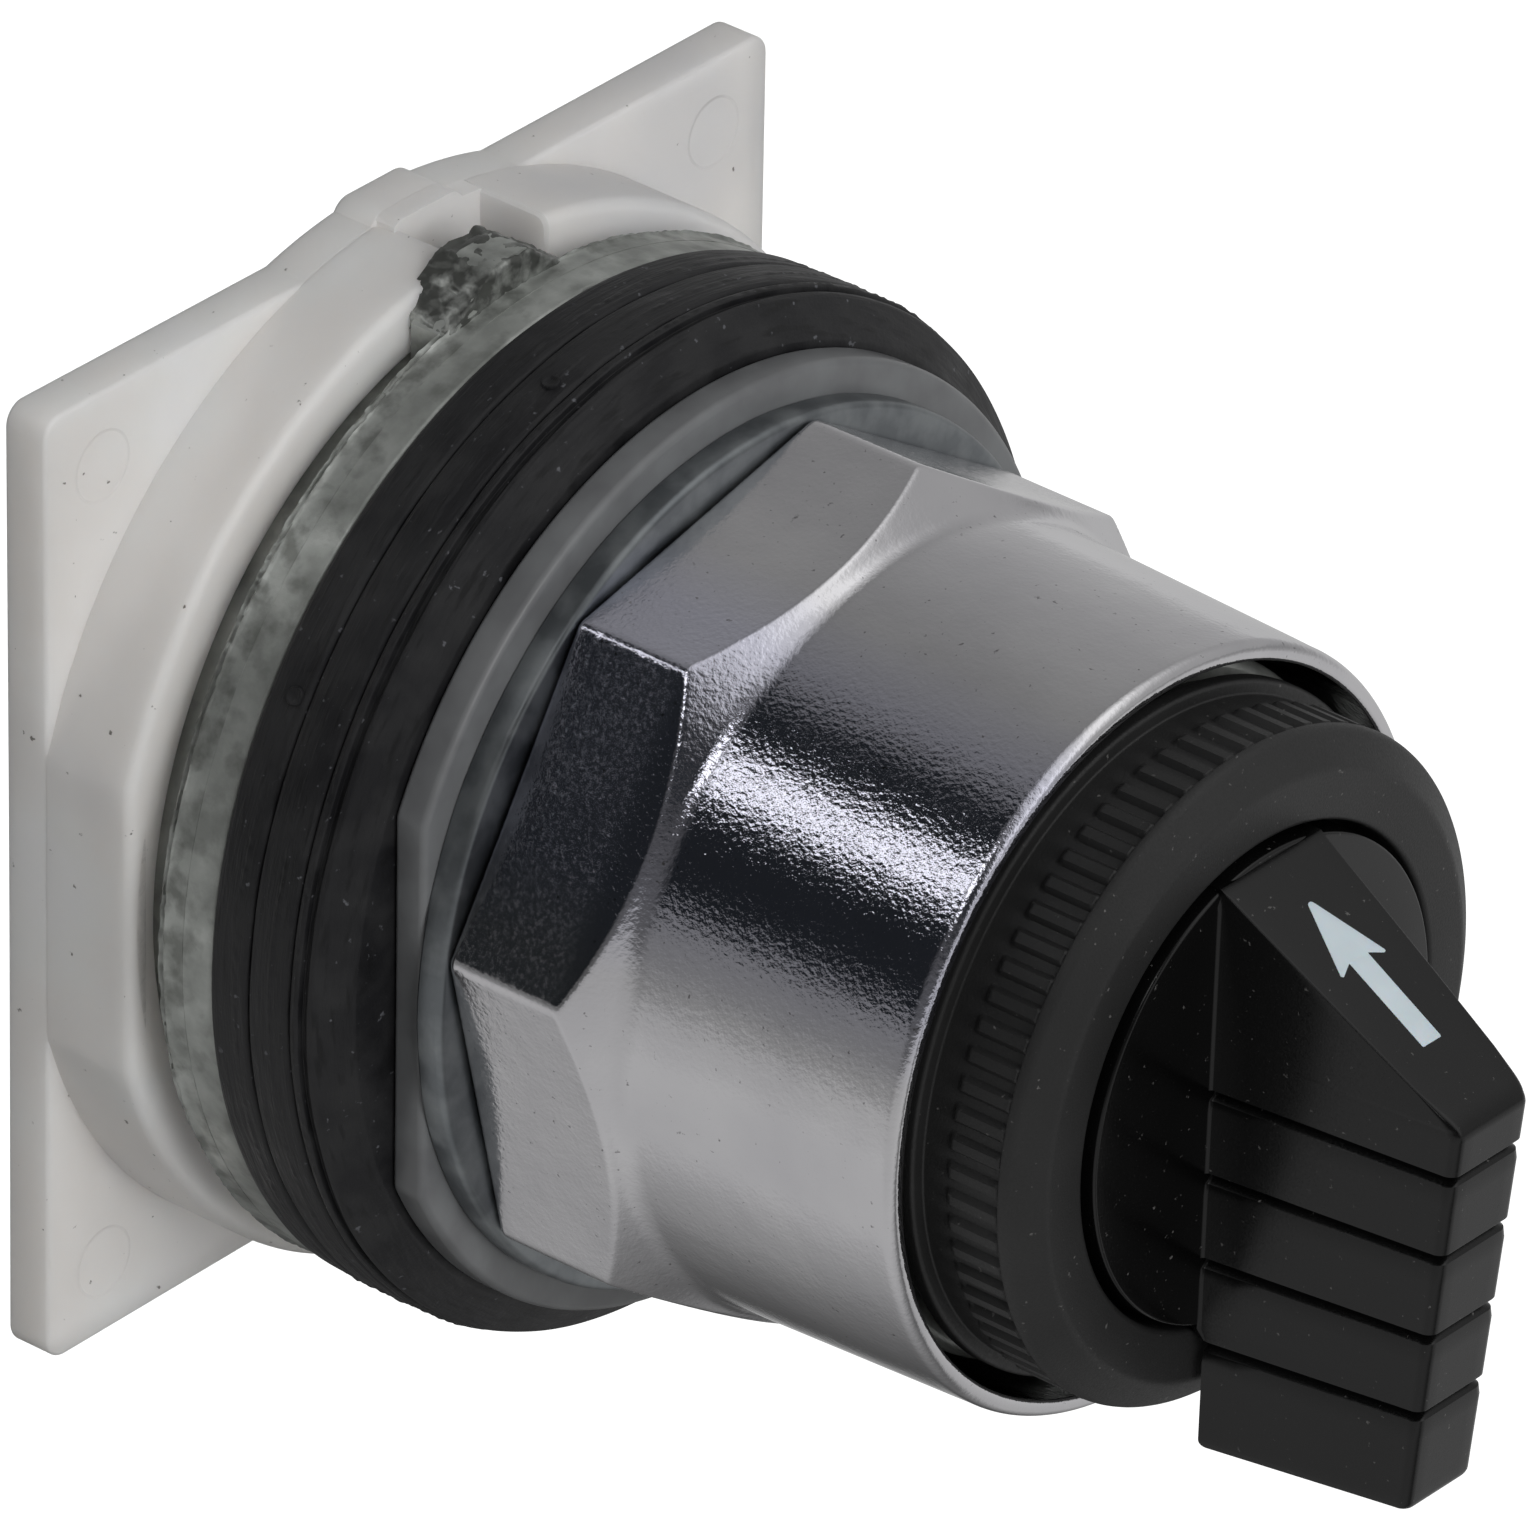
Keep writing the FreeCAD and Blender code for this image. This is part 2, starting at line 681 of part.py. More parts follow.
def wedge():
    # solid whose two sides have the lever's draft and taper
    near = -2 * over
    far = lever_front_top_reach + 2 * over
    corners = {}
    for reach in (near, far):
        for height in (lever_slope_start_height + 3 * over, lever_foot_height - 3 * over):
            half = lever_half_width(reach, height)
            high = height > 0
            corners[(reach, high, -1)] = Vector(-half, disc_face - reach, height)
            corners[(reach, high, 1)] = Vector(half, disc_face - reach, height)
    loops = [
        [(near, True, -1), (near, True, 1), (near, False, 1), (near, False, -1)],
        [(far, True, -1), (far, True, 1), (far, False, 1), (far, False, -1)],
        [(near, True, -1), (far, True, -1), (far, False, -1), (near, False, -1)],
        [(near, True, 1), (far, True, 1), (far, False, 1), (near, False, 1)],
        [(near, True, -1), (near, True, 1), (far, True, 1), (far, True, -1)],
        [(near, False, -1), (near, False, 1), (far, False, 1), (far, False, -1)],
    ]
    faces = []
    for loop in loops:
        points = [corners[key] for key in loop]
        faces.append(Part.Face(Part.makePolygon(points + points[:1])))
    solid = Part.makeSolid(Part.makeShell(faces))
    if solid.Volume < 0:
        solid.reverse()
    return solid


def make_lever():
    root = disc_face + lever_root_sink
    overhang_rear = bezel_face - lever_overhang_gap
    start, along, normal = slope_frame()
    root_height = start.z + (root - start.y) * along.z / along.y
    profile = side_prism([
        (root, root_height, 0),
        (disc_face - lever_front_top_reach, lever_front_top_height, lever_nose_round),
        (disc_face - lever_front_bottom_reach, lever_foot_height, lever_foot_round),
        (overhang_rear, lever_foot_height, small_round),
        (overhang_rear, -disc_radius + lever_root_inset, 0),
        (root, -disc_radius + lever_root_inset, 0),
    ], lever_root_half_width + 3 * over)
    lever = round_lever_edges(profile.common(wedge()).Solids[0])
    # the slope's top end is trimmed round, just inside the disc's edge
    trim = slab(lever_root_half_width + 3 * over, disc_face - over, root + over,
                lever_front_top_height, disc_radius + 4 * over)
    end_radius = disc_radius - fine_round - press_gap
    lever = lever.cut(trim.cut(rod(end_radius, disc_face - 2 * over, root + 2 * over)))
    for i in range(groove_count):
        lever = lever.cut(groove_ring(groove_first_height - groove_pitch * i))
    return lever


def round_lever_edges(lever):
    # round the long edges between the sides and the slope, the front and the foot
    chosen = []
    for edge in lever.Edges:
        box = edge.BoundBox
        on_side = min(abs(box.XMin), abs(box.XMax)) > over and box.XMin * box.XMax > 0
        forward = box.YMin < disc_face - over
        if on_side and forward:
            chosen.append(edge)
    return lever.makeFillet(lever_edge_round, chosen)


def groove_ring(height):
    # bar bent round both sides and the front of the lever at one height
    reach = lever_reach(height)
    behind = disc_face + over
    outer_root = lever_half_width(-over, height) + over
    outer_front = lever_half_width(reach, height) + over
    inner_root = lever_half_width(0, height) - groove_depth
    inner_front = lever_half_width(reach, height) - groove_depth
    low = height - groove_width / 2
    corners = [
        (-outer_root, behind), (-inner_root, behind), (-inner_root, disc_face),
        (-inner_front, disc_face - reach + groove_depth), (inner_front, disc_face - reach + groove_depth),
        (inner_root, disc_face), (inner_root, behind), (outer_root, behind),
        (outer_front, disc_face - reach - over), (-outer_front, disc_face - reach - over),
        (-outer_root, behind),
    ]
    ring = Part.makePolygon([Vector(x, y, low) for x, y in corners])
    return Part.Face(ring).extrude(Vector(0, 0, groove_width))


def lever_reach(height):
    # how far the front face stands before the disc at a given height
    share = (lever_front_top_height - height) / (lever_front_top_height - lever_foot_height)
    return lever_front_top_reach + (lever_front_bottom_reach - lever_front_top_reach) * share


def arrow_solid(depth, sink, grow):
    # arrow on the lever's slope, pointing back up to the disc
    start, along, normal = slope_frame()
    side = Vector(1, 0, 0)
    tip = start + along * (arrow_start - 2 * grow) - normal * sink
    head = arrow_head_length + 3 * grow
    half_head = arrow_head_width / 2 + 2 * grow
    half_shaft = arrow_shaft_width / 2 + grow
    end = arrow_length + 3 * grow
    places = [(0, 0), (head, -half_head), (head, -half_shaft), (end, -half_shaft),
              (end, half_shaft), (head, half_shaft), (head, half_head), (0, 0)]
    points = [tip + along * down + side * across for down, across in places]
    return Part.Face(Part.makePolygon(points)).extrude(normal * -depth)


def make_knob():
    disc = turned([
        (0, disc_face, 0),
        (disc_radius, disc_face, 0.2),
        (disc_radius, disc_rear, 0.3),
        (hub_radius, disc_rear, 0),
        (hub_radius, hub_rear, 0.3),
        (0, hub_rear, 0),
    ])
    knob = disc.fuse(make_lever())
    knob = knob.cut(arrow_solid(over, arrow_recess - over, arrow_gap))
    bore_front = hub_rear - spindle_knob_depth
    knob = knob.cut(d_bore(bore_front - press_gap, hub_rear + over))
    return knob.removeSplitter()


def make_pointer_arrow():
    return arrow_solid(arrow_recess - arrow_sink - arrow_gap, arrow_sink, 0.0)


def make_spindle():
    front = hub_rear - spindle_knob_depth
    shaft = rod(spindle_radius, front, spindle_rear)
    side = spindle_radius + over
    shaft = shaft.cut(slab(side, front - over, spindle_rear + over, spindle_flat, side))
    hole = rod(spindle_screw_radius + screw_gap, cam_seat - spindle_screw_length - free_gap,
               spindle_rear + over)
    return shaft.cut(hole)


def make_spindle_screw():
    head_front = cam_seat + press_gap
    head_rear = head_front + spindle_screw_head_height
    screw = turned([
        (0, cam_seat - spindle_screw_length, 0),
        (spindle_screw_radius, cam_seat - spindle_screw_length, 0.3),
        (spindle_screw_radius, head_front, 0),
        (spindle_screw_head_radius, head_front, 0),
        (spindle_screw_head_radius, head_rear, 0.8),
        (0, head_rear, 0),
    ])
    return screw.cut(cross_recess(head_rear + press_gap, 0, 0))


def make_wave_washer():
    # flat ring bent into waves: four closed wavy edges and the faces between them
    def wavy(radius, y):
        points = []
        steps = 8 * wave_count
        for i in range(steps):
            angle = 2 * math.pi * i / steps
            lift = wave_height * math.cos(wave_count * angle)
            points.append(Vector(radius * math.cos(angle), y + lift, radius * math.sin(angle)))
        curve = Part.BSplineCurve()
        curve.interpolate(points, PeriodicFlag=True)
        return curve.toShape()

    front = wave_front + wave_height
    rear = front + wave_thickness
    rings = [wavy(wave_inner_radius, front), wavy(wave_outer_radius, front),
             wavy(wave_outer_radius, rear), wavy(wave_inner_radius, rear)]
    faces = [Part.makeRuledSurface(rings[i], rings[(i + 1) % 4]) for i in range(4)]
    solid = Part.makeSolid(Part.makeShell(faces))
    if solid.Volume < 0:
        solid.reverse()
    return solid


def make_detent_wheel():
    wheel = turned([
        (0, wheel_front, 0),
        (wheel_radius, wheel_front, fine_round),
        (wheel_radius, wheel_rear, fine_round),
        (0, wheel_rear, 0),
    ])
    notch_centre = wheel_radius - wheel_notch_depth + wheel_notch_radius
    for i in range(wheel_notch_count):
        notch = rod(wheel_notch_radius, wheel_front - over, wheel_rear + over, 0, notch_centre)
        wheel = wheel.cut(turn(notch, 360 / wheel_notch_count * i))
    wheel = wheel.cut(d_bore(wheel_front - over, wheel_rear + over))
    return wheel.removeSplitter()


def make_cam():
    reach = cam_radius + 2
    deep = cam_centre_thickness + cam_slope * reach
    disc = rod(cam_radius, cam_front, cam_front + deep)
    # the cam's rear face is a plane that leans back towards the top
    sloped = side_prism([
        (cam_front - over, -reach, 0),
        (cam_face - cam_slope * reach, -reach, 0),
        (cam_face + cam_slope * reach, reach, 0),
        (cam_front - over, reach, 0),
    ], reach)
    cam = disc.common(sloped).fuse(rod(cam_hub_radius, wheel_rear + press_gap, cam_front + over))
    # tab that meets the ribs in the chamber at both ends of the turn
    half = stop_tab_radius * math.sin(math.radians(stop_tab_half_angle))
    tab = slab(half, cam_front, cam_front + stop_tab_thickness, cam_hub_radius, stop_tab_radius + over)
    cam = cam.fuse(tab.common(rod(stop_tab_radius, cam_front, cam_front + stop_tab_thickness)))
    cam = cam.cut(rod(spindle_screw_head_radius + free_gap, cam_seat, cam_front + deep))
    cam = cam.cut(d_bore(wheel_rear - over, cam_seat + over))
    return cam.removeSplitter()


def make_plunger(side):
    plunger = Part.makeSphere(plunger_radius, Vector(0, tip_centre, 0))
    plunger = plunger.fuse(rod(plunger_radius, tip_centre, plunger_rear))
    plunger = plunger.fuse(rod(plunger_collar_radius, plunger_collar_front, plunger_collar_rear))
    plunger = plunger.removeSplitter()
    plunger.translate(Vector(side * plunger_offset, 0, 0))
    return plunger


def make_plunger_spring(side):
    front = plunger_collar_rear + press_gap
    mean_radius = plunger_radius + free_gap + plunger_spring_wire
    spring = coil(mean_radius, plunger_spring_wire, plate_front - press_gap - front,
                  plunger_spring_turns)
    spring.rotate(Vector(0, 0, 0), Vector(1, 0, 0), -90)
    spring.translate(Vector(side * plunger_offset, front, 0))
    return spring


def detent_tip():
    # radius at which the pin's round tip rests when it rides just clear of the wheel
    return wheel_radius + pin_ride_gap


def make_detent_pin(side):
    centre = detent_tip() + pin_radius
    place = Vector(0, pin_station, side * centre)
    pin = Part.makeSphere(pin_radius, place)
    shank = Part.makeCylinder(pin_radius, pin_length - pin_radius, place, Vector(0, 0, side))
    return pin.fuse(shank).removeSplitter()


def make_detent_spring(side):
    start = detent_tip() + pin_length + press_gap
    mean_radius = pin_radius - pin_spring_wire
    spring = coil(mean_radius, pin_spring_wire, pin_bore_end - press_gap - start,
                  pin_spring_turns)
    spring.translate(Vector(0, 0, start))
    if side < 0:
        spring.rotate(Vector(0, 0, 0), Vector(1, 0, 0), 180)
    spring.translate(Vector(0, pin_station, 0))
    return spring


def make_shaft_seal():
    seal_front = barrel_front + seal_depth_from_front
    centre_radius = hub_radius + running_gap + seal_section_radius
    return Part.makeTorus(centre_radius, seal_section_radius,
                          Vector(0, seal_front + seal_groove_width / 2, 0), AXIS)


def make_glide_washer():
    return turned([
        (hub_radius + running_gap, barrel_front - press_gap, 0),
        (glide_washer_radius, barrel_front - press_gap, 0),
        (glide_washer_radius, barrel_front - press_gap - glide_washer_thickness, 0.1),
        (hub_radius + running_gap, barrel_front - press_gap - glide_washer_thickness, 0),
    ])


def main():
    gasket_middle_front = gasket_front_thickness
    gasket_rear_front = gasket_middle_front + gasket_middle_thickness
    parts = {
        "operator_body": make_operator_body(),
        "rear_housing": make_rear_housing(),
        "housing_screws": make_housing_screws(),
        "gasket_rear": make_gasket(gasket_rear_front, flange_front, rear_nub_angle),
        "gasket_middle": make_gasket(gasket_middle_front, gasket_rear_front, middle_nub_angle),
        "gasket_front": make_gasket_front(),
        "trim_washer": make_trim_washer(),
        "thrust_washer": make_thrust_washer(),
        "ring_nut": make_ring_nut(),
        "bezel_ring": make_bezel_ring(),
        "knob": make_knob(),
        "pointer_arrow": make_pointer_arrow(),
        "spindle": make_spindle(),
        "spindle_screw": make_spindle_screw(),
        "glide_washer": make_glide_washer(),
        "shaft_seal": make_shaft_seal(),
        "wave_washer": make_wave_washer(),
        "detent_wheel": make_detent_wheel(),
        "cam": make_cam(),
        "detent_pin_upper": make_detent_pin(1),
        "detent_pin_lower": make_detent_pin(-1),
        "detent_spring_upper": make_detent_spring(1),
        "detent_spring_lower": make_detent_spring(-1),
        "plunger_left": make_plunger(-1),
        "plunger_right": make_plunger(1),
        "plunger_spring_left": make_plunger_spring(-1),
        "plunger_spring_right": make_plunger_spring(1),
    }
    os.makedirs("parts", exist_ok=True)
    for name, shape in parts.items():
        shape.exportStep("parts/" + name + ".step")
        box = shape.BoundBox
        print("%-22s solids %d valid %s volume %.1f  y %.2f..%.2f  z %.2f..%.2f" % (
            name, len(shape.Solids), shape.isValid(), shape.Volume,
            box.YMin, box.YMax, box.ZMin, box.ZMax))


main()
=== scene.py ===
import math

import bpy
import bmesh
from mathutils import Matrix, Vector, noise


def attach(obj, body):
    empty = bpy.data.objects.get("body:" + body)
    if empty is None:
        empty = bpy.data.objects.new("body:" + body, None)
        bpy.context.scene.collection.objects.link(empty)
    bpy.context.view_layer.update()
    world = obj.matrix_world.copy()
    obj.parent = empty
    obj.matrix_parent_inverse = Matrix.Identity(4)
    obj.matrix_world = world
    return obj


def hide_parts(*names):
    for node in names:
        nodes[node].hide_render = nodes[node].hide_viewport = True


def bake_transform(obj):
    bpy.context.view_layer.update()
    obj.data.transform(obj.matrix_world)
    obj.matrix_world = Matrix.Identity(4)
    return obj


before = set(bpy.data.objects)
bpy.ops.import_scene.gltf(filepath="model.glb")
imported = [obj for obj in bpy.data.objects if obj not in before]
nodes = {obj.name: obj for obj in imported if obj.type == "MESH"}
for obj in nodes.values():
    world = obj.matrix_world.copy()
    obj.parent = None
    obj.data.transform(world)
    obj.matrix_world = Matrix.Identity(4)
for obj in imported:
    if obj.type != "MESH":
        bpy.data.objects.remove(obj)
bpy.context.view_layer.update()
scene = bpy.context.scene
mm = 0.001


def roundedLoop(corners, steps=5):
    # outline of (radius, y, rounding) corners in millimetres, each turned into an arc; Y is the switch's axis and
    # the lever faces -Y
    points = []
    count = len(corners)
    for i in range(count):
        here = Vector(corners[i][:2])
        size = corners[i][2]
        if size <= 0:
            points.append((here.x, here.y))
            continue
        toBefore = (Vector(corners[i - 1][:2]) - here).normalized()
        toAfter = (Vector(corners[(i + 1) % count][:2]) - here).normalized()
        half = toBefore.angle(toAfter) / 2
        centre = here + (toBefore + toAfter).normalized() * (size / math.sin(half))
        start = here + toBefore * (size / math.tan(half)) - centre
        end = here + toAfter * (size / math.tan(half)) - centre
        for j in range(steps + 1):
            p = centre + start.normalized().slerp(end.normalized(), j / steps) * size
            points.append((p.x, p.y))
    return points


def fillIn(points, longest, closed=True):
    # adds points so that no stretch of the outline is longer than the given length
    result = []
    count = len(points)
    for i in range(count if closed else count - 1):
        a = Vector(points[i])
        b = Vector(points[(i + 1) % count])
        parts = max(1, math.ceil((b - a).length / longest))
        for j in range(parts):
            p = a.lerp(b, j / parts)
            result.append((p.x, p.y))
    if not closed:
        result.append(tuple(points[-1]))
    return result


def flatToMesh(loops, low, high, size):
    # closed outlines with holes, given thickness and softened edges by a 2D curve's own bevel
    curve = bpy.data.curves.new("flatOutline", "CURVE")
    curve.dimensions = "2D"
    curve.fill_mode = "BOTH"
    for loop in loops:
        spline = curve.splines.new("POLY")
        spline.points.add(len(loop) - 1)
        for point, (x, z) in zip(spline.points, loop):
            point.co = (x, z, 0, 1)
        spline.use_cyclic_u = True
    curve.extrude = (high - low) / 2 - size
    curve.bevel_depth = size
    curve.bevel_resolution = 3
    flat = bpy.data.objects.new("flatOutline", curve)
    scene.collection.objects.link(flat)
    bpy.context.view_layer.update()
    mesh = bpy.data.meshes.new_from_object(flat.evaluated_get(bpy.context.evaluated_depsgraph_get()))
    bpy.data.objects.remove(flat)
    mesh.transform(Matrix.Translation((0, (low + high) / 2, 0)) @ Matrix.Rotation(math.radians(90), 4, "X"))
    bm = bmesh.new()
    bm.from_mesh(mesh)
    bmesh.ops.remove_doubles(bm, verts=bm.verts, dist=0.001)
    return bm


def meshObject(name, bm):
    mesh = bpy.data.meshes.new(name)
    bm.to_mesh(mesh)
    bm.free()
    piece = bpy.data.objects.new(name, mesh)
    scene.collection.objects.link(piece)
    return piece


def finishMesh(name, bm, body, material, replaced=(), sharp=35):
    # body is one body to attach the piece to; where two bodies are given, with the points where the piece leaves the
    # first and reaches the second, the piece is attached to neither and only its transform is baked
    bmesh.ops.recalc_face_normals(bm, faces=bm.faces)
    piece = meshObject(name, bm)
    piece.data.transform(Matrix.Scale(mm, 4))
    piece.data.polygons.foreach_set("use_smooth", [True] * len(piece.data.polygons))
    piece.data.set_sharp_from_angle(angle=math.radians(sharp))
    piece.data.materials.append(material)
    if isinstance(body, str):
        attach(piece, body)
    else:
        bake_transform(piece)
    if replaced:
        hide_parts(*replaced)
    return piece


def bridge(bm, a, b):
    # band of faces between two closed rows of points
    for j in range(len(a)):
        k = (j + 1) % len(a)
        bm.faces.new((a[j], a[k], b[k], b[j]))


def bridgeRows(bm, rows):
    # closes a bent bar from its rows of points
    for a, b in zip(rows, rows[1:]):
        bridge(bm, a, b)
    bm.faces.new(rows[0])
    bm.faces.new(rows[-1])


def addRing(bm, loop, segments, startAngle=0.0, shape=None):
    # turns an outline about the switch axis; shape(angle, radius, y) may move each point
    rows = []
    for i in range(segments):
        angle = startAngle + 2 * math.pi * i / segments
        row = []
        for radius, y in loop:
            r, yy = shape(angle, radius, y) if shape else (radius, y)
            row.append(bm.verts.new((r * math.cos(angle), yy, r * math.sin(angle))))
        rows.append(row)
    for i in range(segments):
        bridge(bm, rows[i], rows[(i + 1) % segments])


def softMin(a, b, width):
    # smaller of two lengths, rounded over where they are about equal
    share = max(0.0, min(1.0, 0.5 + 0.5 * (b - a) / width))
    return b + (a - b) * share - width * share * (1 - share)


def eased(share):
    # share held between 0 and 1, with soft ends
    share = max(0.0, min(1.0, share))
    return share * share * (3 - 2 * share)


def wander(angle, y, waves, seed):
    # smooth seeded unevenness round a ring, between about -1 and 1
    return noise.noise(Vector((math.cos(angle) * waves, math.sin(angle) * waves, y * 0.4 + seed * 7.3)))


def hexToLinear(code):
    values = [int(code[i:i + 2], 16) / 255 for i in (1, 3, 5)]
    linear = [v / 12.92 if v <= 0.04045 else ((v + 0.055) / 1.055) ** 2.4 for v in values]
    return (*linear, 1.0)


def addNode(tree, kind, inputs=None, **settings):
    # one node with its settings; an input given as a socket is linked, any other is set
    node = tree.nodes.new(kind)
    for key, value in settings.items():
        setattr(node, key, value)
    for key, value in (inputs or {}).items():
        if isinstance(value, bpy.types.NodeSocket):
            tree.links.new(value, node.inputs[key])
        else:
            node.inputs[key].default_value = value
    return node


def newMaterial(name, **surface):
    material = bpy.data.materials.new(name)
    material.use_nodes = True
    shader = material.node_tree.nodes["Principled BSDF"]
    for key, value in surface.items():
        shader.inputs[key.replace("_", " ")].default_value = value
    place = addNode(material.node_tree, "ShaderNodeTexCoord").outputs["Object"]
    return material, material.node_tree, place


def speckled(tree, place, size, detail=2.0, seed=0.0):
    # noise whose lumps are about the given size in millimetres; object coordinates are in metres
    shifted = addNode(tree, "ShaderNodeVectorMath", {0: place, 1: (seed * 0.37, seed * 0.71, seed * 0.13)})
    return addNode(tree, "ShaderNodeTexNoise", {"Vector": shifted.outputs[0], "Scale": 1 / (size * mm),
                                                "Detail": detail}).outputs["Fac"]


def dress(material, base, layers, roughness=None, bumps=()):
    # lays colours over the base, each where its pattern runs from low to high, and no further than its most;
    # spreads the roughness over a pattern in the same way; chains bumps of (pattern, depth in millimetres)
    tree = material.node_tree
    shader = tree.nodes["Principled BSDF"]
    colour = hexToLinear(base)
    for pattern, low, high, code, *most in layers:
        mask = addNode(tree, "ShaderNodeMapRange", {0: pattern, 1: low, 2: high, 4: most[0] if most else 1.0})
        colour = addNode(tree, "ShaderNodeMix", {0: mask.outputs[0], 6: colour, 7: hexToLinear(code)},
                         data_type="RGBA").outputs[2]
    tree.links.new(colour, shader.inputs["Base Color"])
    if roughness:
        pattern, low, high, first, last = roughness
        spread = addNode(tree, "ShaderNodeMapRange", {0: pattern, 1: low, 2: high, 3: first, 4: last})
        tree.links.new(spread.outputs[0], shader.inputs["Roughness"])
    normal = None
    for height, depth in bumps:
        inputs = {"Height": height, "Distance": depth * mm, "Strength": 1.0}
        if normal:
            inputs["Normal"] = normal
        normal = addNode(tree, "ShaderNodeBump", inputs).outputs["Normal"]
    if normal:
        tree.links.new(normal, shader.inputs["Normal"])


def mouldedBlack(name, colours, roughness, grainDepth, gloss):
    # black ABS, injection moulded: a fine satin grain and a few grey dust specks
    material, tree, place = newMaterial(name, IOR=1.53, Specular_IOR_Level=gloss)
    grain = speckled(tree, place, 0.10, 3.0)  # moulded grain, 0.1 mm
    cloud = speckled(tree, place, 6.0, 2.0, 3.0)
    dust = speckled(tree, place, 0.30, 3.0, 8.0)  # specks of 0.1 to 0.2 mm
    dress(material, colours[0], [(cloud, 0.35, 0.65, colours[1]), (dust, 0.70, 0.76, "#5A5958")],
          (grain, 0.3, 0.7, roughness - 0.05, roughness + 0.08), [(grain, grainDepth)])
    return material


def nitrileRubber():
    # nitrile rubber, compression moulded: nearly matt, dusted grey, with fine flow marks round the ring
    material, tree, place = newMaterial("nitrileRubber", IOR=1.52, Specular_IOR_Level=0.3)
    fine = speckled(tree, place, 0.16, 4.0)
    # flow lines run round the ring: the noise is stretched along it and 0.25 mm wide across it
    drawn = addNode(tree, "ShaderNodeVectorMath", {0: place, 1: (0.12, 1.0, 0.12)}, operation="MULTIPLY")
    lines = speckled(tree, drawn.outputs[0], 0.25, 3.0, 1.0)
    smear = speckled(tree, place, 2.2, 4.0, 2.0)
    specks = speckled(tree, place, 0.42, 3.0, 5.0)
    dress(material, "#18181A", [(smear, 0.40, 0.68, "#272728"), (lines, 0.56, 0.68, "#0E0E0F", 0.7),
                                (specks, 0.69, 0.75, "#55565A")],
          (smear, 0.3, 0.7, 0.42, 0.60), [(fine, 0.010), (smear, 0.03), (lines, 0.09)])
    return material


# where the plating is duller, along the axis in millimetres, and where it is gritty and tinted with a painted bluish
# reflection, in degrees round it
plating = {"dullFrom": -9.2, "dullFull": -8.0, "gritAndBlueReflectionStarts": (106, 117), "gritAndBlueReflectionEnds": (165, 153)}


def chromePlate():
    # decorative chrome over a zinc casting: mirror bright, but with the casting's fine grain and a few pits
    # showing through, which breaks every bright edge into sparks; the octagon is duller from handling
    material, tree, place = newMaterial("chromePlate", Metallic=1.0)
    peel = speckled(tree, place, 1.1, 2.0)
    grain = speckled(tree, place, 0.20, 2.0, 4.0)  # real grain is nearer 0.1 mm
    haze = speckled(tree, place, 5.0, 3.0, 9.0)
    pits = speckled(tree, place, 0.30, 2.0, 6.0)
    axes = addNode(tree, "ShaderNodeSeparateXYZ", {"Vector": place}).outputs
    # one side was plated over a gritty stretch of the casting: it glitters, and its bluer tint there is a painted
    # reflection of the bluish surroundings
    angle = addNode(tree, "ShaderNodeMath", {0: axes["Z"], 1: axes["X"]}, operation="ARCTAN2").outputs[0]
    entering, leaving = (
        addNode(tree, "ShaderNodeMapRange", {0: angle, 1: math.radians(first), 2: math.radians(last)}).outputs[0]
        for first, last in (plating["gritAndBlueReflectionStarts"], plating["gritAndBlueReflectionEnds"]))
    gritAndBlueReflection = addNode(tree, "ShaderNodeMath", {0: entering, 1: leaving}, operation="MULTIPLY").outputs[0]
    rough = addNode(tree, "ShaderNodeMath", {0: speckled(tree, place, 0.23, 3.0, 7.0), 1: gritAndBlueReflection},
                    operation="MULTIPLY").outputs[0]
    octagon = addNode(tree, "ShaderNodeMapRange", {0: axes["Y"], 1: plating["dullFrom"] * mm,
                                                   2: plating["dullFull"] * mm}).outputs[0]
    sheen = addNode(tree, "ShaderNodeMapRange", {0: haze, 1: 0.3, 2: 0.7, 3: 0.05, 4: 0.09}).outputs[0]
    dulling = addNode(tree, "ShaderNodeMapRange", {0: grain, 1: 0.46, 2: 0.66, 3: 0.07, 4: 0.17}).outputs[0]
    dulled = addNode(tree, "ShaderNodeMath", {0: octagon, 1: dulling, 2: sheen}, operation="MULTIPLY_ADD")
    tree.links.new(dulled.outputs[0], tree.nodes["Principled BSDF"].inputs["Roughness"])
    # the bluish colour laid over the gritty side is painted reflection
    dress(material, "#D6D5D7", [(haze, 0.3, 0.7, "#CBCACD"), (gritAndBlueReflection, 0.0, 1.0, "#CFCFDC"),
                                (pits, 0.70, 0.78, "#8C8A8C")], None, [(peel, 0.018), (grain, 0.010), (rough, 0.026)])
    return material


def dieCastZinc(name, darkening, blotchColour):
    # bare die-cast zinc alloy: dull grey, mottled by flow marks, with darker blotches at random that cover more of it
    # as the darkening rises
    material, tree, place = newMaterial(name, Metallic=0.6)
    mottle = speckled(tree, place, 2.6, 5.0)
    fine = speckled(tree, place, 0.35, 4.0, 3.0)
    blotch = speckled(tree, place, 1.2, 6.0, 6.0)
    dress(material, "#8C8F8B", [(mottle, 0.36, 0.64, "#B4B7B3"),
                                (blotch, 0.52 - 0.2 * darkening, 0.72 - 0.2 * darkening, blotchColour, 0.5 + 0.4 * darkening)],
          (mottle, 0.3, 0.7, 0.46, 0.30), [(mottle, 0.05), (fine, 0.015)])
    return material


def zincPlatedSteel():
    # zinc-plated steel washer, stamped: dull silver with a patchy passivated film
    material, tree, place = newMaterial("zincPlatedSteel", Metallic=1.0)
    patch = speckled(tree, place, 2.0, 5.0, 1.0)
    fine = speckled(tree, place, 0.25, 3.0, 2.0)
    dress(material, "#74787B", [(patch, 0.40, 0.62, "#909496")], (patch, 0.35, 0.65, 0.34, 0.48),
          [(fine, 0.005), (patch, 0.008)])
    return material


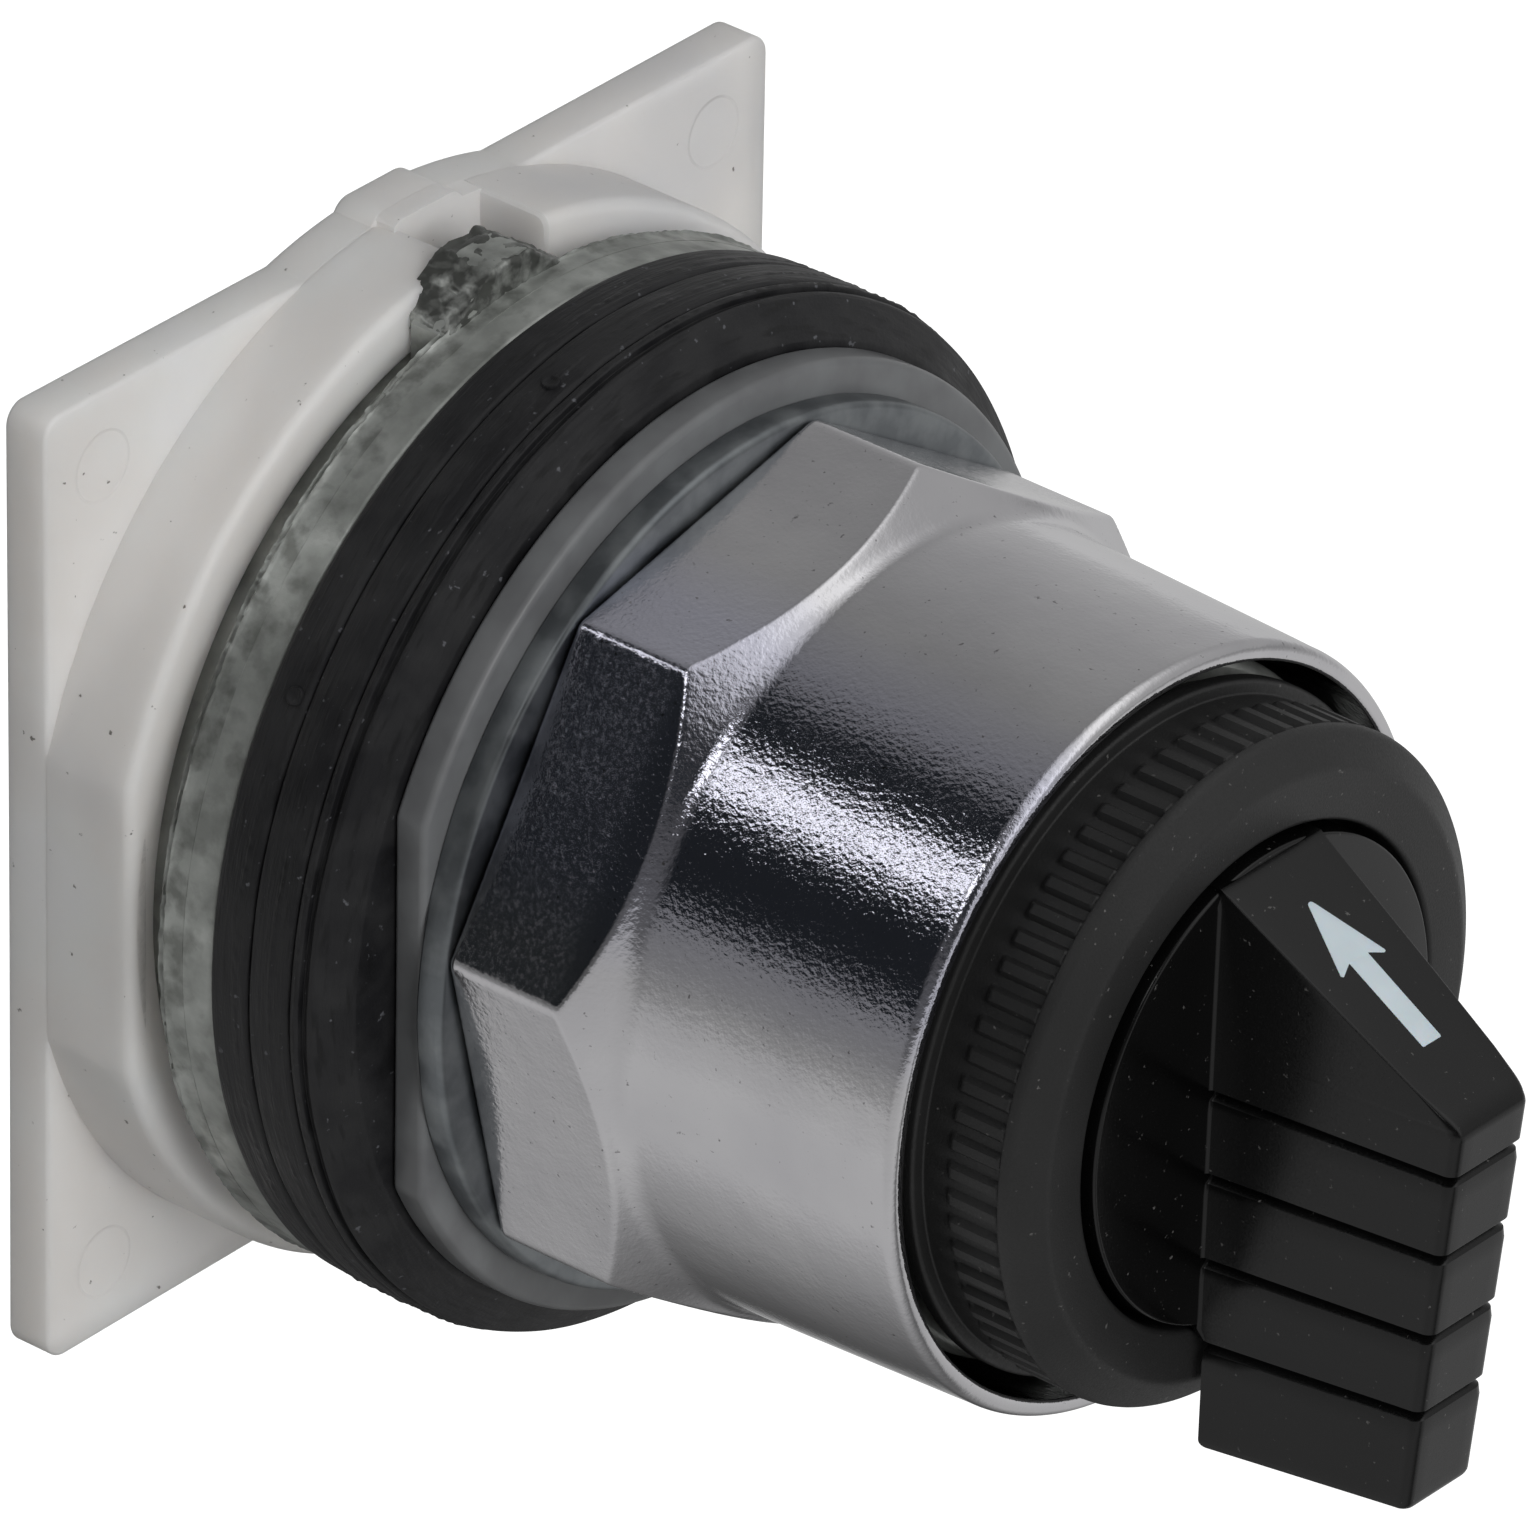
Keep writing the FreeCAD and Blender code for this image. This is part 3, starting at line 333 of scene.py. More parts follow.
def smokyNylon():
    # natural nylon with a smoky tint: light passes into it, so its edge looks deep and soft
    material, tree, place = newMaterial("smokyNylon", IOR=1.53, Transmission_Weight=0.35, Specular_IOR_Level=0.35)
    cloud = speckled(tree, place, 3.0, 3.0)
    dress(material, "#77787A", [(cloud, 0.35, 0.65, "#8A8C8E")], (cloud, 0.3, 0.7, 0.28, 0.40),
          [(speckled(tree, place, 0.3, 3.0), 0.006)])
    return material


# round marks of the ejector pins near the plate's corners: how far across and up, radius, ramp and depth
ejectorPins = {"place": 18.55, "radius": 1.6, "ramp": 0.12, "depth": 0.06}


def milkyNylon():
    # unfilled natural nylon, moulded: milky and translucent, with a waxy satin surface
    material, tree, place = newMaterial("milkyNylon", IOR=1.53, Roughness=0.34, Transmission_Weight=0.25,
                                        Subsurface_Weight=1.0, Subsurface_Scale=0.0012,
                                        Subsurface_Radius=(1.0, 0.98, 0.96))
    cloud = speckled(tree, place, 9.0, 3.0)
    darkReflectionPatches = speckled(tree, place, 14.0, 2.0, 2.0)  # bluish-grey patches at random places: painted dark reflection of the surroundings
    specks = speckled(tree, place, 0.5, 3.0, 5.0)
    mirrored = addNode(tree, "ShaderNodeVectorMath", {0: place}, operation="ABSOLUTE").outputs[0]
    flat = addNode(tree, "ShaderNodeVectorMath", {0: mirrored, 1: (1, 0, 1)}, operation="MULTIPLY").outputs[0]
    corner = (ejectorPins["place"] * mm, 0, ejectorPins["place"] * mm)
    away = addNode(tree, "ShaderNodeVectorMath", {0: flat, 1: corner}, operation="DISTANCE").outputs["Value"]
    mark = addNode(tree, "ShaderNodeMapRange", {0: away, 1: (ejectorPins["radius"] - ejectorPins["ramp"]) * mm,
                                                2: ejectorPins["radius"] * mm}).outputs[0]
    # the bluish-grey layer is painted dark reflection
    dress(material, "#F2EFEC", [(cloud, 0.35, 0.65, "#FAF8F6"), (darkReflectionPatches, 0.54, 0.70, "#D8DADF", 0.5),
                                (specks, 0.72, 0.76, "#77726C")],
          None, [(speckled(tree, place, 0.25, 3.0), 0.004), (mark, ejectorPins["depth"])])
    return material


def plainPlastic(name, colours, roughness):
    # natural acetal or white ABS, moulded: smooth, slightly waxy
    material, tree, place = newMaterial(name, IOR=1.48, Subsurface_Weight=0.15, Subsurface_Scale=0.001)
    cloud = speckled(tree, place, 2.5, 3.0)
    dress(material, colours[0], [(cloud, 0.3, 0.7, colours[1])], (cloud, 0.3, 0.7, roughness, roughness + 0.1))
    return material


def brightSteel(name, colours, roughness):
    # drawn or turned steel, lightly brushed: fine marks break the highlights
    material, tree, place = newMaterial(name, Metallic=1.0)
    marks = speckled(tree, place, 0.2, 4.0)
    dress(material, colours[0], [(marks, 0.0, 1.0, colours[1])],
          (marks, 0.3, 0.7, roughness - 0.06, roughness + 0.08), [(marks, 0.003)])
    return material


bezelBlack = mouldedBlack("mouldedBezelAbs", ("#161616", "#1E1E1E"), 0.50, 0.012, 0.5)
knobBlack = mouldedBlack("mouldedKnobAbs", ("#050505", "#080808"), 0.20, 0.002, 0.36)
rubber = nitrileRubber()
chrome = chromePlate()
zinc = dieCastZinc("dieCastZinc", 0.0, "#5D5F5A")
streakedZinc = dieCastZinc("streakedDieCastZinc", 0.4, "#5D5F5A")
# the lug's zinc is made much darker, nearly all over
darkerZinc = dieCastZinc("darkerDieCastZinc", 0.9, "#3C3D3A")
washerZinc = zincPlatedSteel()
smoky = smokyNylon()
milky = milkyNylon()
arrowWhite = plainPlastic("whiteAbs", ("#D6DEE4", "#CCD5DB"), 0.45)
acetal = plainPlastic("naturalAcetal", ("#DAD7CC", "#CFCBBF"), 0.4)
screwSteel = brightSteel("platedScrewSteel", ("#B9B8B0", "#98978F"), 0.35)
springSteel = brightSteel("springSteel", ("#C4C4C4", "#9E9E9E"), 0.3)

nodeFinish = {
    "operator_body": zinc, "rear_housing": milky, "housing_screws": screwSteel, "gasket_rear": rubber,
    "gasket_middle": rubber, "gasket_front": rubber, "trim_washer": smoky, "thrust_washer": washerZinc,
    "ring_nut": chrome, "bezel_ring": bezelBlack, "knob": knobBlack, "pointer_arrow": arrowWhite,
    "spindle": springSteel, "spindle_screw": screwSteel, "glide_washer": acetal, "shaft_seal": rubber,
    "wave_washer": springSteel, "detent_wheel": acetal, "cam": acetal, "detent_pin_upper": springSteel,
    "detent_pin_lower": springSteel, "detent_spring_upper": springSteel, "detent_spring_lower": springSteel,
    "plunger_left": acetal, "plunger_right": acetal, "plunger_spring_left": springSteel,
    "plunger_spring_right": springSteel,
}
for nodeName, finish in nodeFinish.items():
    mesh = nodes[nodeName].data
    mesh.materials.clear()
    mesh.materials.append(finish)
print("materials made:", len(bpy.data.materials))


# ring nut: octagon base, 45 degree cone, tapered sleeve and rounded lip
nut = {
    "rear": -2.95, "front": -24.05, "corner": 18.95, "cornerAngle": 35.7, "flatLength": 5.65,
    "octagonReach": 10.0, "rearRound": 0.35, "sleeveBase": 16.9, "sleeveTip": 16.4, "blend": 1.5, "lipDepth": 1.2,
    "lipRound": (0.58, 0.18), "bore": 15.6, "threadBore": 15.2, "threadLength": 9.5, "threadRunout": 0.4,
    "edgeSoftness": 0.13, "cornerSoftness": 0.22, "segments": 720, "flatRows": 0.6, "coneRows": 0.14,
    "coneEnd": -13.5,
}


def octagonRadius(angle):
    # rounded octagon: softened smallest of the three nearest flats
    step = math.radians(45)
    apothem = nut["corner"] * math.cos(step / 2)
    local = (angle - math.radians(nut["cornerAngle"])) % step
    a, b, c = (apothem / max(0.3, math.cos(local + step * turn)) for turn in (-0.5, 0.5, -1.5))
    return softMin(softMin(a, b, nut["cornerSoftness"]), c, nut["cornerSoftness"])


def makeRingNut():
    rear, front, bore, size = nut["rear"], nut["front"], nut["bore"], nut["rearRound"]
    edge, lipStart, threadEnd = rear - nut["flatLength"], front + nut["lipDepth"], rear - nut["threadLength"]
    # radii: clear of the corners, a mark for points that follow the flats, and where the rear face begins
    outside, onFlats, faceBore = 24.0, 30.0, 16.5
    outer = roundedLoop([
        (nut["threadBore"], rear, 0), (outside, rear, 0), (outside, edge + outside - nut["corner"], 0),
        (nut["sleeveBase"], edge - (nut["corner"] - nut["sleeveBase"]), nut["blend"]),
        (nut["sleeveTip"], front, nut["lipRound"][0]), (bore, front, nut["lipRound"][1]),
        (bore, threadEnd - nut["threadRunout"], 0), (nut["threadBore"], threadEnd, 0),
    ], 9)
    # the outline is walked as rows: the octagon cuts whatever stands outside it
    profile = [(nut["threadBore"], rear), (faceBore, rear)]
    for i in range(6):
        a = math.radians(90 * i / 5)
        profile.append((onFlats - size + size * math.sin(a), rear - size * (1 - math.cos(a))))
    y = rear - size
    while y > edge + nut["flatRows"]:
        y -= nut["flatRows"]
        profile.append((onFlats, y))
    cone = [(radius, y) for radius, y in fillIn(outer[2:], nut["coneRows"], False)
            if lipStart < y < edge + 0.5 and radius > bore + 0.01]
    profile += [p for i, p in enumerate(cone) if p[1] > nut["coneEnd"] or i % 5 == 0]  # fewer rows on the sleeve
    profile += [(nut["sleeveTip"] + 0.03, front + 1.0)] + [p for p in outer[2:-2] if p[1] <= lipStart]
    profile += [(bore, -20.0), (bore, -16.0)] + outer[-2:]

    def shape(angle, radius, y):
        if y < rear - nut["octagonReach"] or (radius <= faceBore + 0.01 and y > edge):
            return radius, y
        if radius >= onFlats - 1:
            return octagonRadius(angle) - (onFlats - radius), y
        return softMin(octagonRadius(angle), radius, nut["edgeSoftness"]), y

    bm = bmesh.new()
    addRing(bm, profile, nut["segments"], math.radians(nut["cornerAngle"]), shape)
    return finishMesh("ringNut", bm, "nut", chrome, ["ring_nut"], 60)


makeRingNut()
print("ring nut made")


# bezel ring: ribbed rim, shoulder and flat face; the ribs' half width and flank are shares of their spacing
bezel = {
    "face": -29.1, "faceRadius": 12.95, "holeRadius": 10.75, "holeDepth": 3.6, "ribRadius": 14.4,
    "rootRadius": 14.12, "shoulder": 1.4, "chamfer": 1.0, "ribLength": 2.8, "ribCount": 72, "ribHalfWidth": 0.30,
    "ribFlank": 0.10, "ribFade": 0.35, "ribRows": 22, "perRib": 12, "rimRadius": 14.75, "rimFront": -23.75,
    "rimRear": -22.95, "rear": -21.8, "bore": 13.3,
}


def makeBezelRing():
    root, rib, face, rim = bezel["rootRadius"], bezel["ribRadius"], bezel["face"], bezel["rimRadius"]
    shoulder, back = face + bezel["shoulder"], face + bezel["holeDepth"]
    ribEnd = shoulder + bezel["ribLength"]
    loop = roundedLoop([
        (bezel["bore"], bezel["rear"], 0), (root, bezel["rear"], 0.2), (root, bezel["rimRear"], 0),
        (rim, bezel["rimRear"], 0.2), (rim, bezel["rimFront"], 0.2), (root, bezel["rimFront"], 0.1),
        (root, ribEnd, 0), (root + 0.02, shoulder + 0.05, 0), (rib, shoulder - 0.05, 0.1),
        (rib, face + bezel["chamfer"], 0.6), (bezel["faceRadius"], face, 0.7), (bezel["holeRadius"], face, 0.25),
        (bezel["holeRadius"], back, 0), (bezel["bore"], back, 0),
    ], 5)
    fine = []
    for (radius, y), (radius2, y2) in zip(loop, loop[1:] + loop[:1]):
        fine.append((radius, y))
        if abs(radius - root) < 0.03 and abs(radius2 - root) < 0.03 and y2 < y <= ribEnd + 0.01:
            fine += [(root, y + (y2 - y) * j / bezel["ribRows"]) for j in range(1, bezel["ribRows"])]

    def shape(angle, radius, y):
        if abs(radius - root) > 0.03 or not shoulder - 0.1 < y < ribEnd + 0.01:
            return radius, y
        phase = (angle * bezel["ribCount"] / (2 * math.pi)) % 1.0
        across = eased((bezel["ribHalfWidth"] - abs(phase - 0.5)) / bezel["ribFlank"])
        along = eased((ribEnd - 0.05 - y) / bezel["ribFade"])
        return radius + (rib - root) * (across * along), y

    bm = bmesh.new()
    addRing(bm, fine, bezel["ribCount"] * bezel["perRib"], 0.0, shape)
    return finishMesh("bezelRing", bm, "operator", bezelBlack, ["bezel_ring"], 50)


makeBezelRing()
print("bezel ring made")


# knob: disc and grooved lever in one moulding
knob = {
    "discFace": -29.4, "discRadius": 10.4, "discRear": -26.3, "slopeTop": 10.15, "noseHeight": 3.2,
    "noseReach": 11.6, "noseRound": 0.9, "noseRows": (4.2, 1.6), "footHeight": -15.4, "footReach": 9.5,
    "footRound": 0.5, "sunk": 0.6,
    "overhangTop": -9.9, "overhangRear": -29.65, "rootTop": 3.1, "rootBottom": 3.75, "frontTop": 2.24,
    "frontBottom": 2.02, "edgeRound": 0.5, "slopeEdgeRound": 0.13, "slopeEdgeFade": 1.2,
    "rootFillet": ((0.0, 0.11), (0.03, 0.045), (0.08, 0.012), (0.14, 0.0)),
    "grooves": (0.83, -2.96, -6.83, -10.59), "grooveWidth": 0.36, "grooveDepth": 0.42, "grooveLip": 0.12,
}


def leverReach(z):
    # distance from the disc to the front outline, with the nose rounded
    front = knob["noseReach"] + (knob["footReach"] - knob["noseReach"]) * (
        (knob["noseHeight"] - z) / (knob["noseHeight"] - knob["footHeight"]))
    slope = (knob["slopeTop"] - z) * knob["noseReach"] / (knob["slopeTop"] - knob["noseHeight"])
    return max(0.02, softMin(front, slope, knob["noseRound"]))


def leverHeights():
    # heights of the lever's sections from the top down, closest at the nose, the grooves and the foot
    heights = []
    z = knob["slopeTop"] - 0.02
    for stop, step in zip(knob["noseRows"], (0.25, 0.07)):
        while z > stop:
            heights.append(z)
            z -= step
    edges = [knob["noseRows"][1]]
    reach = knob["grooveWidth"] / 2 + knob["grooveLip"]
    for middle in knob["grooves"]:
        edges += [middle + reach - 2 * reach * i / 24 for i in range(25)]
    edges += [knob["footHeight"] + knob["footRound"] * (1 - math.sin(math.radians(11.25 * i))) for i in range(9)]
    for a, b in zip(edges, edges[1:]):
        parts = max(1, math.ceil((a - b) / 0.5))
        heights += [a + (b - a) * j / parts for j in range(parts)]
    heights.append(edges[-1])
    return heights


def leverSection(z):
    # one horizontal section: from the right root round the front to the left root
    share = (knob["slopeTop"] - z) / (knob["slopeTop"] - knob["footHeight"])
    root = knob["rootTop"] + (knob["rootBottom"] - knob["rootTop"]) * share
    reach = leverReach(z)
    frontShare = max(0.0, (knob["noseHeight"] - z) / (knob["noseHeight"] - knob["footHeight"]))
    front = knob["frontTop"] + (knob["frontBottom"] - knob["frontTop"]) * frontShare
    full = knob["noseReach"] if z > knob["noseHeight"] else reach
    tip = root + (front - root) * min(1.0, reach / full)
    inset = 0.0
    for middle in knob["grooves"]:
        lip = knob["grooveLip"] * (2.0 if z < middle else 0.5)  # softer below a groove than above it
        inside = (knob["grooveWidth"] / 2 + lip - abs(z - middle)) / (2 * lip)
        inset = max(inset, knob["grooveDepth"] * eased(inside))
    low = z - knob["footHeight"]
    if low < knob["footRound"]:
        inset += knob["footRound"] - math.sqrt(max(0.0, knob["footRound"] ** 2 - (knob["footRound"] - low) ** 2))
    rear = knob["discFace"] + knob["sunk"]
    if z <= knob["overhangTop"]:
        rear = knob["overhangRear"] - (inset if low < knob["footRound"] else 0)
    depth = max(0.03, reach - inset)
    root, tip = root - inset, tip - inset
    crisp = max(0.0, min(1.0, (z - knob["noseHeight"]) / knob["slopeEdgeFade"]))
    size = knob["edgeRound"] + (knob["slopeEdgeRound"] - knob["edgeRound"]) * crisp
    size = min(size, depth * 0.45, tip * 0.5)
    yFront = knob["discFace"] - depth
    half = [(root, rear)]
    for away, flare in knob["rootFillet"]:
        part = min(1.0, away / max(depth, 0.1))
        half.append((root + (tip - root) * part + (flare if rear > knob["discFace"] and depth > 1 else 0.0),
                     max(min(rear, knob["discFace"]) - away, yFront + size + 0.005)))
    start = half[-1]
    for j in range(1, 8):
        t = j / 7
        half.append((start[0] + (tip - start[0]) * t * (1 - size / max(depth, 0.1)),
                     start[1] + (yFront + size - start[1]) * t))
    edge = half[-1][0]
    for j in range(1, 8):
        a = math.radians(90 * j / 7)
        half.append((edge - size * (1 - math.cos(a)), yFront + size - size * math.sin(a)))
    end = half[-1][0]
    half += [(end * (1 - j / 3), yFront) for j in range(1, 3)]
    return [(x, y, z) for x, y in half] + [(0, yFront, z)] + [(-x, y, z) for x, y in reversed(half)]


def makeKnob():
    bm = bmesh.new()
    disc = roundedLoop([(0, knob["discFace"], 0), (knob["discRadius"], knob["discFace"], 0.14),
                        (knob["discRadius"], knob["discRear"], 0), (0, knob["discRear"], 0)], 6)
    addRing(bm, fillIn([(max(r, 0.01), y) for r, y in disc], 1.5), 256)
    bridgeRows(bm, [[bm.verts.new(p) for p in leverSection(z)] for z in leverHeights()])
    return finishMesh("leverKnob", bm, "selector", knobBlack, ["knob"], 38)


makeKnob()

arrow = {"start": 2.05, "length": 7.65, "headLength": 3.3, "headWidth": 2.85, "shaftWidth": 1.1, "barb": 0.35,
         "proud": 0.025, "sunk": 0.1, "edge": 0.015}


def makeArrow():
    # lies in the lever's slope: outline as (across, down the slope), the tip towards the disc
    rise = Vector((0, -knob["noseReach"], knob["noseHeight"] - knob["slopeTop"])).normalized()
    proud = Vector((0, rise.z, -rise.y))
    first, last = arrow["start"], arrow["start"] + arrow["length"]
    neck, shaft = first + arrow["headLength"], arrow["shaftWidth"] / 2
    right = [(arrow["headWidth"] / 2, neck + arrow["barb"], 0.08), (shaft, neck - 0.1, 0.05), (shaft, last, 0.05)]
    outline = roundedLoop([(0, first, 0.16)] + right + [(-x, y, size) for x, y, size in reversed(right)], 6)
    bm = flatToMesh([outline], -arrow["sunk"], arrow["proud"], arrow["edge"])
    bm.transform(Matrix(((1, 0, 0, 0), (0, proud.y, rise.y, knob["discFace"]),
                         (0, proud.z, rise.z, knob["slopeTop"]), (0, 0, 0, 1))))
    return finishMesh("pointerArrow", bm, "selector", arrowWhite, ["pointer_arrow"], 40)


makeArrow()
print("knob made")


# each gasket's outer corners from the rear to the front, as (from the rim's radius, y, rounding), then its seed,
# the height of its parting line and the angle of its gate mark
gaskets = {
    "radius": 22.4, "bore": 15.2, "frontRadius": 20.7, "segments": 900, "unevenness": 0.05,
    "flashWidth": 0.16, "flashHeight": 0.05, "flashWaves": 70.0,
    "nub": ((0.4, -0.4), (0.4, 0.06), (0.36, 0.12), (0.28, 0.13), (0.2, 0.08), (0.06, 0.07)),
    "Rear": (((-0.05, 6.4, 0.35), (-0.02, 5.2, 0.2), (0, 4.31, 0.3)), 1, 5.0, 147.0),
    "Middle": (((0, 4.29, 0.25), (0.02, 3.3, 0.3), (-0.02, 2.13, 0.3)), 2, 3.1, 104.9),
    "Front": (((0, 2.1, 0.2), (0, 1.62, 0.08), (-0.32, 1.62, 0.04), (-0.32, 1.3, 0.04), (-0.1, 1.3, 0.08),
               (-0.2, 1.0, 0.3), (-1.7, 0.06, 0.3)), 3, 1.8, None),
}


def addNub(bm, angle, y):
    # round gate mark standing up from the rim, with a dimple in its middle
    out = Vector((math.cos(angle), 0, math.sin(angle)))
    side = Vector((-math.sin(angle), 0, math.cos(angle)))
    rows = []
    for reach, height in gaskets["nub"]:
        ring = []
        for i in range(32):
            turn = 2 * math.pi * i / 32
            place = out * (gaskets["radius"] + height) + side * reach * math.cos(turn)
            ring.append(bm.verts.new(place + Vector((0, y + reach * math.sin(turn), 0))))
        rows.append(ring)
    bridgeRows(bm, rows)


def makeGasket(side):
    corners, seed, seam, nub = gaskets[side]
    bore, outerOnly = gaskets["bore"], gaskets["frontRadius"] + 1

    def shape(angle, radius, y):
        if radius < bore + 0.1:
            return radius, y
        near = max(0.0, 1 - abs(y - seam) / gaskets["flashWidth"]) if radius > outerOnly else 0
        flash = gaskets["flashHeight"] * near * (0.6 + 1.4 * wander(angle, y, gaskets["flashWaves"], seed))
        return radius + gaskets["unevenness"] * wander(angle, y * 2.0, 5.0, seed) + flash, y

    loop = [(bore, corners[0][1], 0)] + [(gaskets["radius"] + out, y, size) for out, y, size in corners]
    loop = fillIn(roundedLoop(loop + [(bore, corners[-1][1], 0)], 5), 0.7)
    fine = []
    for (r, y), (r2, y2) in zip(loop, loop[1:] + loop[:1]):
        fine.append((r, y))
        if r > outerOnly and min(y, y2) - 0.1 < seam < max(y, y2) + 0.1:
            fine += [(r + (r2 - r) * i / 8, y + (y2 - y) * i / 8) for i in range(1, 8)]
    bm = bmesh.new()
    addRing(bm, fine, gaskets["segments"], 0.0, shape)
    if nub is not None:
        addNub(bm, math.radians(nub), seam)
    return finishMesh(f"gasket{side}", bm, "operator", rubber, [f"gasket_{side.lower()}"], 40)


for side in ("Rear", "Middle", "Front"):
    makeGasket(side)

washers = {
    "bore": 15.35, "flat": 18.5, "flatSoftness": 0.08, "unevenness": 0.03,
    "trim": {"radius": 20.4, "rear": 0, "front": -1.6, "rounds": (0.25, 0.35), "arcSteps": 6, "segments": 720},
    "thrust": {"radius": 19.0, "rear": -1.6, "front": -2.9, "rounds": (0.15, 0.3), "arcSteps": 5, "segments": 360},
}


def flatSided(angle, radius, y):
    # flats at the left and right
    if radius < washers["bore"] + 0.1:
        return radius, y
    limit = washers["flat"] / max(0.05, abs(math.cos(angle)))
    return softMin(radius, limit - (washers["trim"]["radius"] - radius), washers["flatSoftness"]), y


def stamped(angle, radius, y):
    # slightly uneven rim
    return radius + (washers["unevenness"] * wander(angle, y, 9.0, 4) if radius > 16 else 0), y


def makeWasher(kind, finish, shape):
    values, bore = washers[kind], washers["bore"]
    loop = roundedLoop([(bore, values["rear"], 0), (values["radius"], values["rear"], values["rounds"][0]),
                        (values["radius"], values["front"], values["rounds"][1]), (bore, values["front"], 0)],
                       values["arcSteps"])
    bm = bmesh.new()
    addRing(bm, fillIn(loop, 1.0), values["segments"], 0.0, shape)
    finishMesh(f"{kind}Washer", bm, "clamp", finish, [f"{kind}_washer"], 40)


makeWasher("trim", smoky, flatSided)
makeWasher("thrust", washerZinc, stamped)
print("gaskets and washers made")

# edge: the trimmed flash line and the rough step behind it, from the rim's radius and the band's rear
casting = {
    "rimRadius": 22.1, "bandRear": 8.93, "bandFront": 8.0, "skirtRadius": 20.3, "ridge": 0.1, "ridgeWaves": 26.0,
    "segments": 1400,
    "edge": ((0.015, -0.1), (0.07, -0.03), (0.09, 0.02), (0.02, 0.07), (-0.2, 0.1), (-0.24, 0.22), (-0.12, 0.3),
             (-0.1, 0.4), (-0.3, 0.52), (-0.7, 0.62)),
    "lugOutline": ((-5.3, 21.5), (-4.3, 22.3), (-2.7, 23.38), (-0.5, 23.42), (0.75, 22.5), (1.7, 21.95),
                   (1.7, 21.0), (-5.3, 21.0)),
    "lugMiddle": (-1.6, 21.6), "lugFront": 8.75, "lugRear": 11.6, "lugLumps": 0.16, "lugSeed": 28,
}


def ragged(angle, waves, seed):
    # uneven as a trimmed casting edge: broad waves with small teeth on them
    return 0.6 * wander(angle, 0, waves / 4, seed) + 0.55 * wander(angle, 0, waves, seed + 1) \
        + 0.35 * wander(angle, 0, waves * 3, seed + 2)


def makeCastingEdge():
    rim, rear, front, skirt = (casting[key] for key in ("rimRadius", "bandRear", "bandFront", "skirtRadius"))
    loop = [(skirt, front), (rim + 0.01, front), (rim + 0.015, front + 0.45)]
    loop += [(rim + out, rear + back) for out, back in casting["edge"]] + [(skirt, rear + 0.7)]

    def shape(angle, radius, y):
        if radius < rim - 0.8:
            return radius, y
        if y < rear - 0.05:
            return radius + 0.012 * wander(angle, y, 30, 11), y + (0.06 * ragged(angle, 9, 12) if y > 8.6 else 0)
        deep = 1.0 if y < rear + 0.08 else 1.6
        return (radius + casting["ridge"] * deep * ragged(angle, casting["ridgeWaves"], round(y * 20)),
                y + 0.06 * ragged(angle, 9, 12))

    bm = bmesh.new()
    addRing(bm, loop, casting["segments"], 0.0, shape)
    return finishMesh("castingEdge", bm, "operator", streakedZinc, (), 80)


def makeLugSkin():
    # lumpy cast skin over the locating lug: its front face ring by ring, then its sides
    outline = fillIn(casting["lugOutline"], 0.16)
    front, depth = casting["lugFront"], casting["lugRear"] - casting["lugFront"]
    middle = Vector(casting["lugMiddle"])
    noise.seed_set(casting["lugSeed"])  # vector noise starts from the clock otherwise
    rows = [[(middle.x + (x - middle.x) * shrink, front, middle.y + (z - middle.y) * shrink) for x, z in outline]
            for shrink in (0.03, 0.2, 0.4, 0.6, 0.8, 0.93)]
    rows += [[(x, front + 0.06 + (depth - 0.06) * i / 20, z) for x, z in outline] for i in range(21)]
    bm = bmesh.new()
    made = []
    for row in rows:
        ring = []
        for point in map(Vector, row):
            way = noise.noise_vector(point * 1.7) + noise.noise_vector(point * 4.0) * 0.5
            ring.append(bm.verts.new(point + way * casting["lugLumps"]))
        made.append(ring)
    bridgeRows(bm, made)
    return finishMesh("lugSkin", bm, "operator", darkerZinc, (), 80)


makeCastingEdge()
makeLugSkin()
print("casting edge made")


# compression springs for the detent pins and plungers, made at one length
springs = {
    "pin": {"meanRadius": 1.2, "wire": 0.19, "turns": 3, "start": 11.72, "end": 13.84, "station": -10.5},
    "plunger": {"meanRadius": 2.5, "wire": 0.28, "turns": 4, "start": 10.79, "end": 15.38, "offset": 8.0},
    "stepsPerTurn": 30, "wireSides": 10,
}


def makeSpring(name, values, middle, way, body, node):
    bm = bmesh.new()
    side = way.orthogonal().normalized()
    other = way.cross(side)
    steps, wire = values["turns"] * springs["stepsPerTurn"], values["wire"]
    length = values["end"] - values["start"] - 2 * wire
    rows = []
    for i in range(steps + 1):
        angle = 2 * math.pi * i / springs["stepsPerTurn"]
        outward = side * math.cos(angle) + other * math.sin(angle)
        heart = middle + way * (values["start"] + wire + length * i / steps) + outward * values["meanRadius"]
        row = []
        for j in range(springs["wireSides"]):
            turn = 2 * math.pi * j / springs["wireSides"]
            row.append(bm.verts.new(heart + (outward * math.cos(turn) + way * math.sin(turn)) * wire))
        rows.append(row)
    bridgeRows(bm, rows)
    moving, fixed = (middle + way * values[place] for place in ("start", "end"))
    finishMesh(name, bm, (body, "operator", moving * mm, fixed * mm), springSteel, [node])


for side, way in (("Upper", 1), ("Lower", -1)):
    makeSpring(f"detentSpring{side}", springs["pin"], Vector((0, springs["pin"]["station"], 0)),
               Vector((0, 0, way)), f"pin_{side.lower()}", f"detent_spring_{side.lower()}")
for side, way in (("Left", -1), ("Right", 1)):
    makeSpring(f"plungerSpring{side}", springs["plunger"], Vector((way * springs["plunger"]["offset"], 0, 0)),
               Vector((0, 1, 0)), f"push_{side.lower()}", f"plunger_spring_{side.lower()}")
print("springs made")


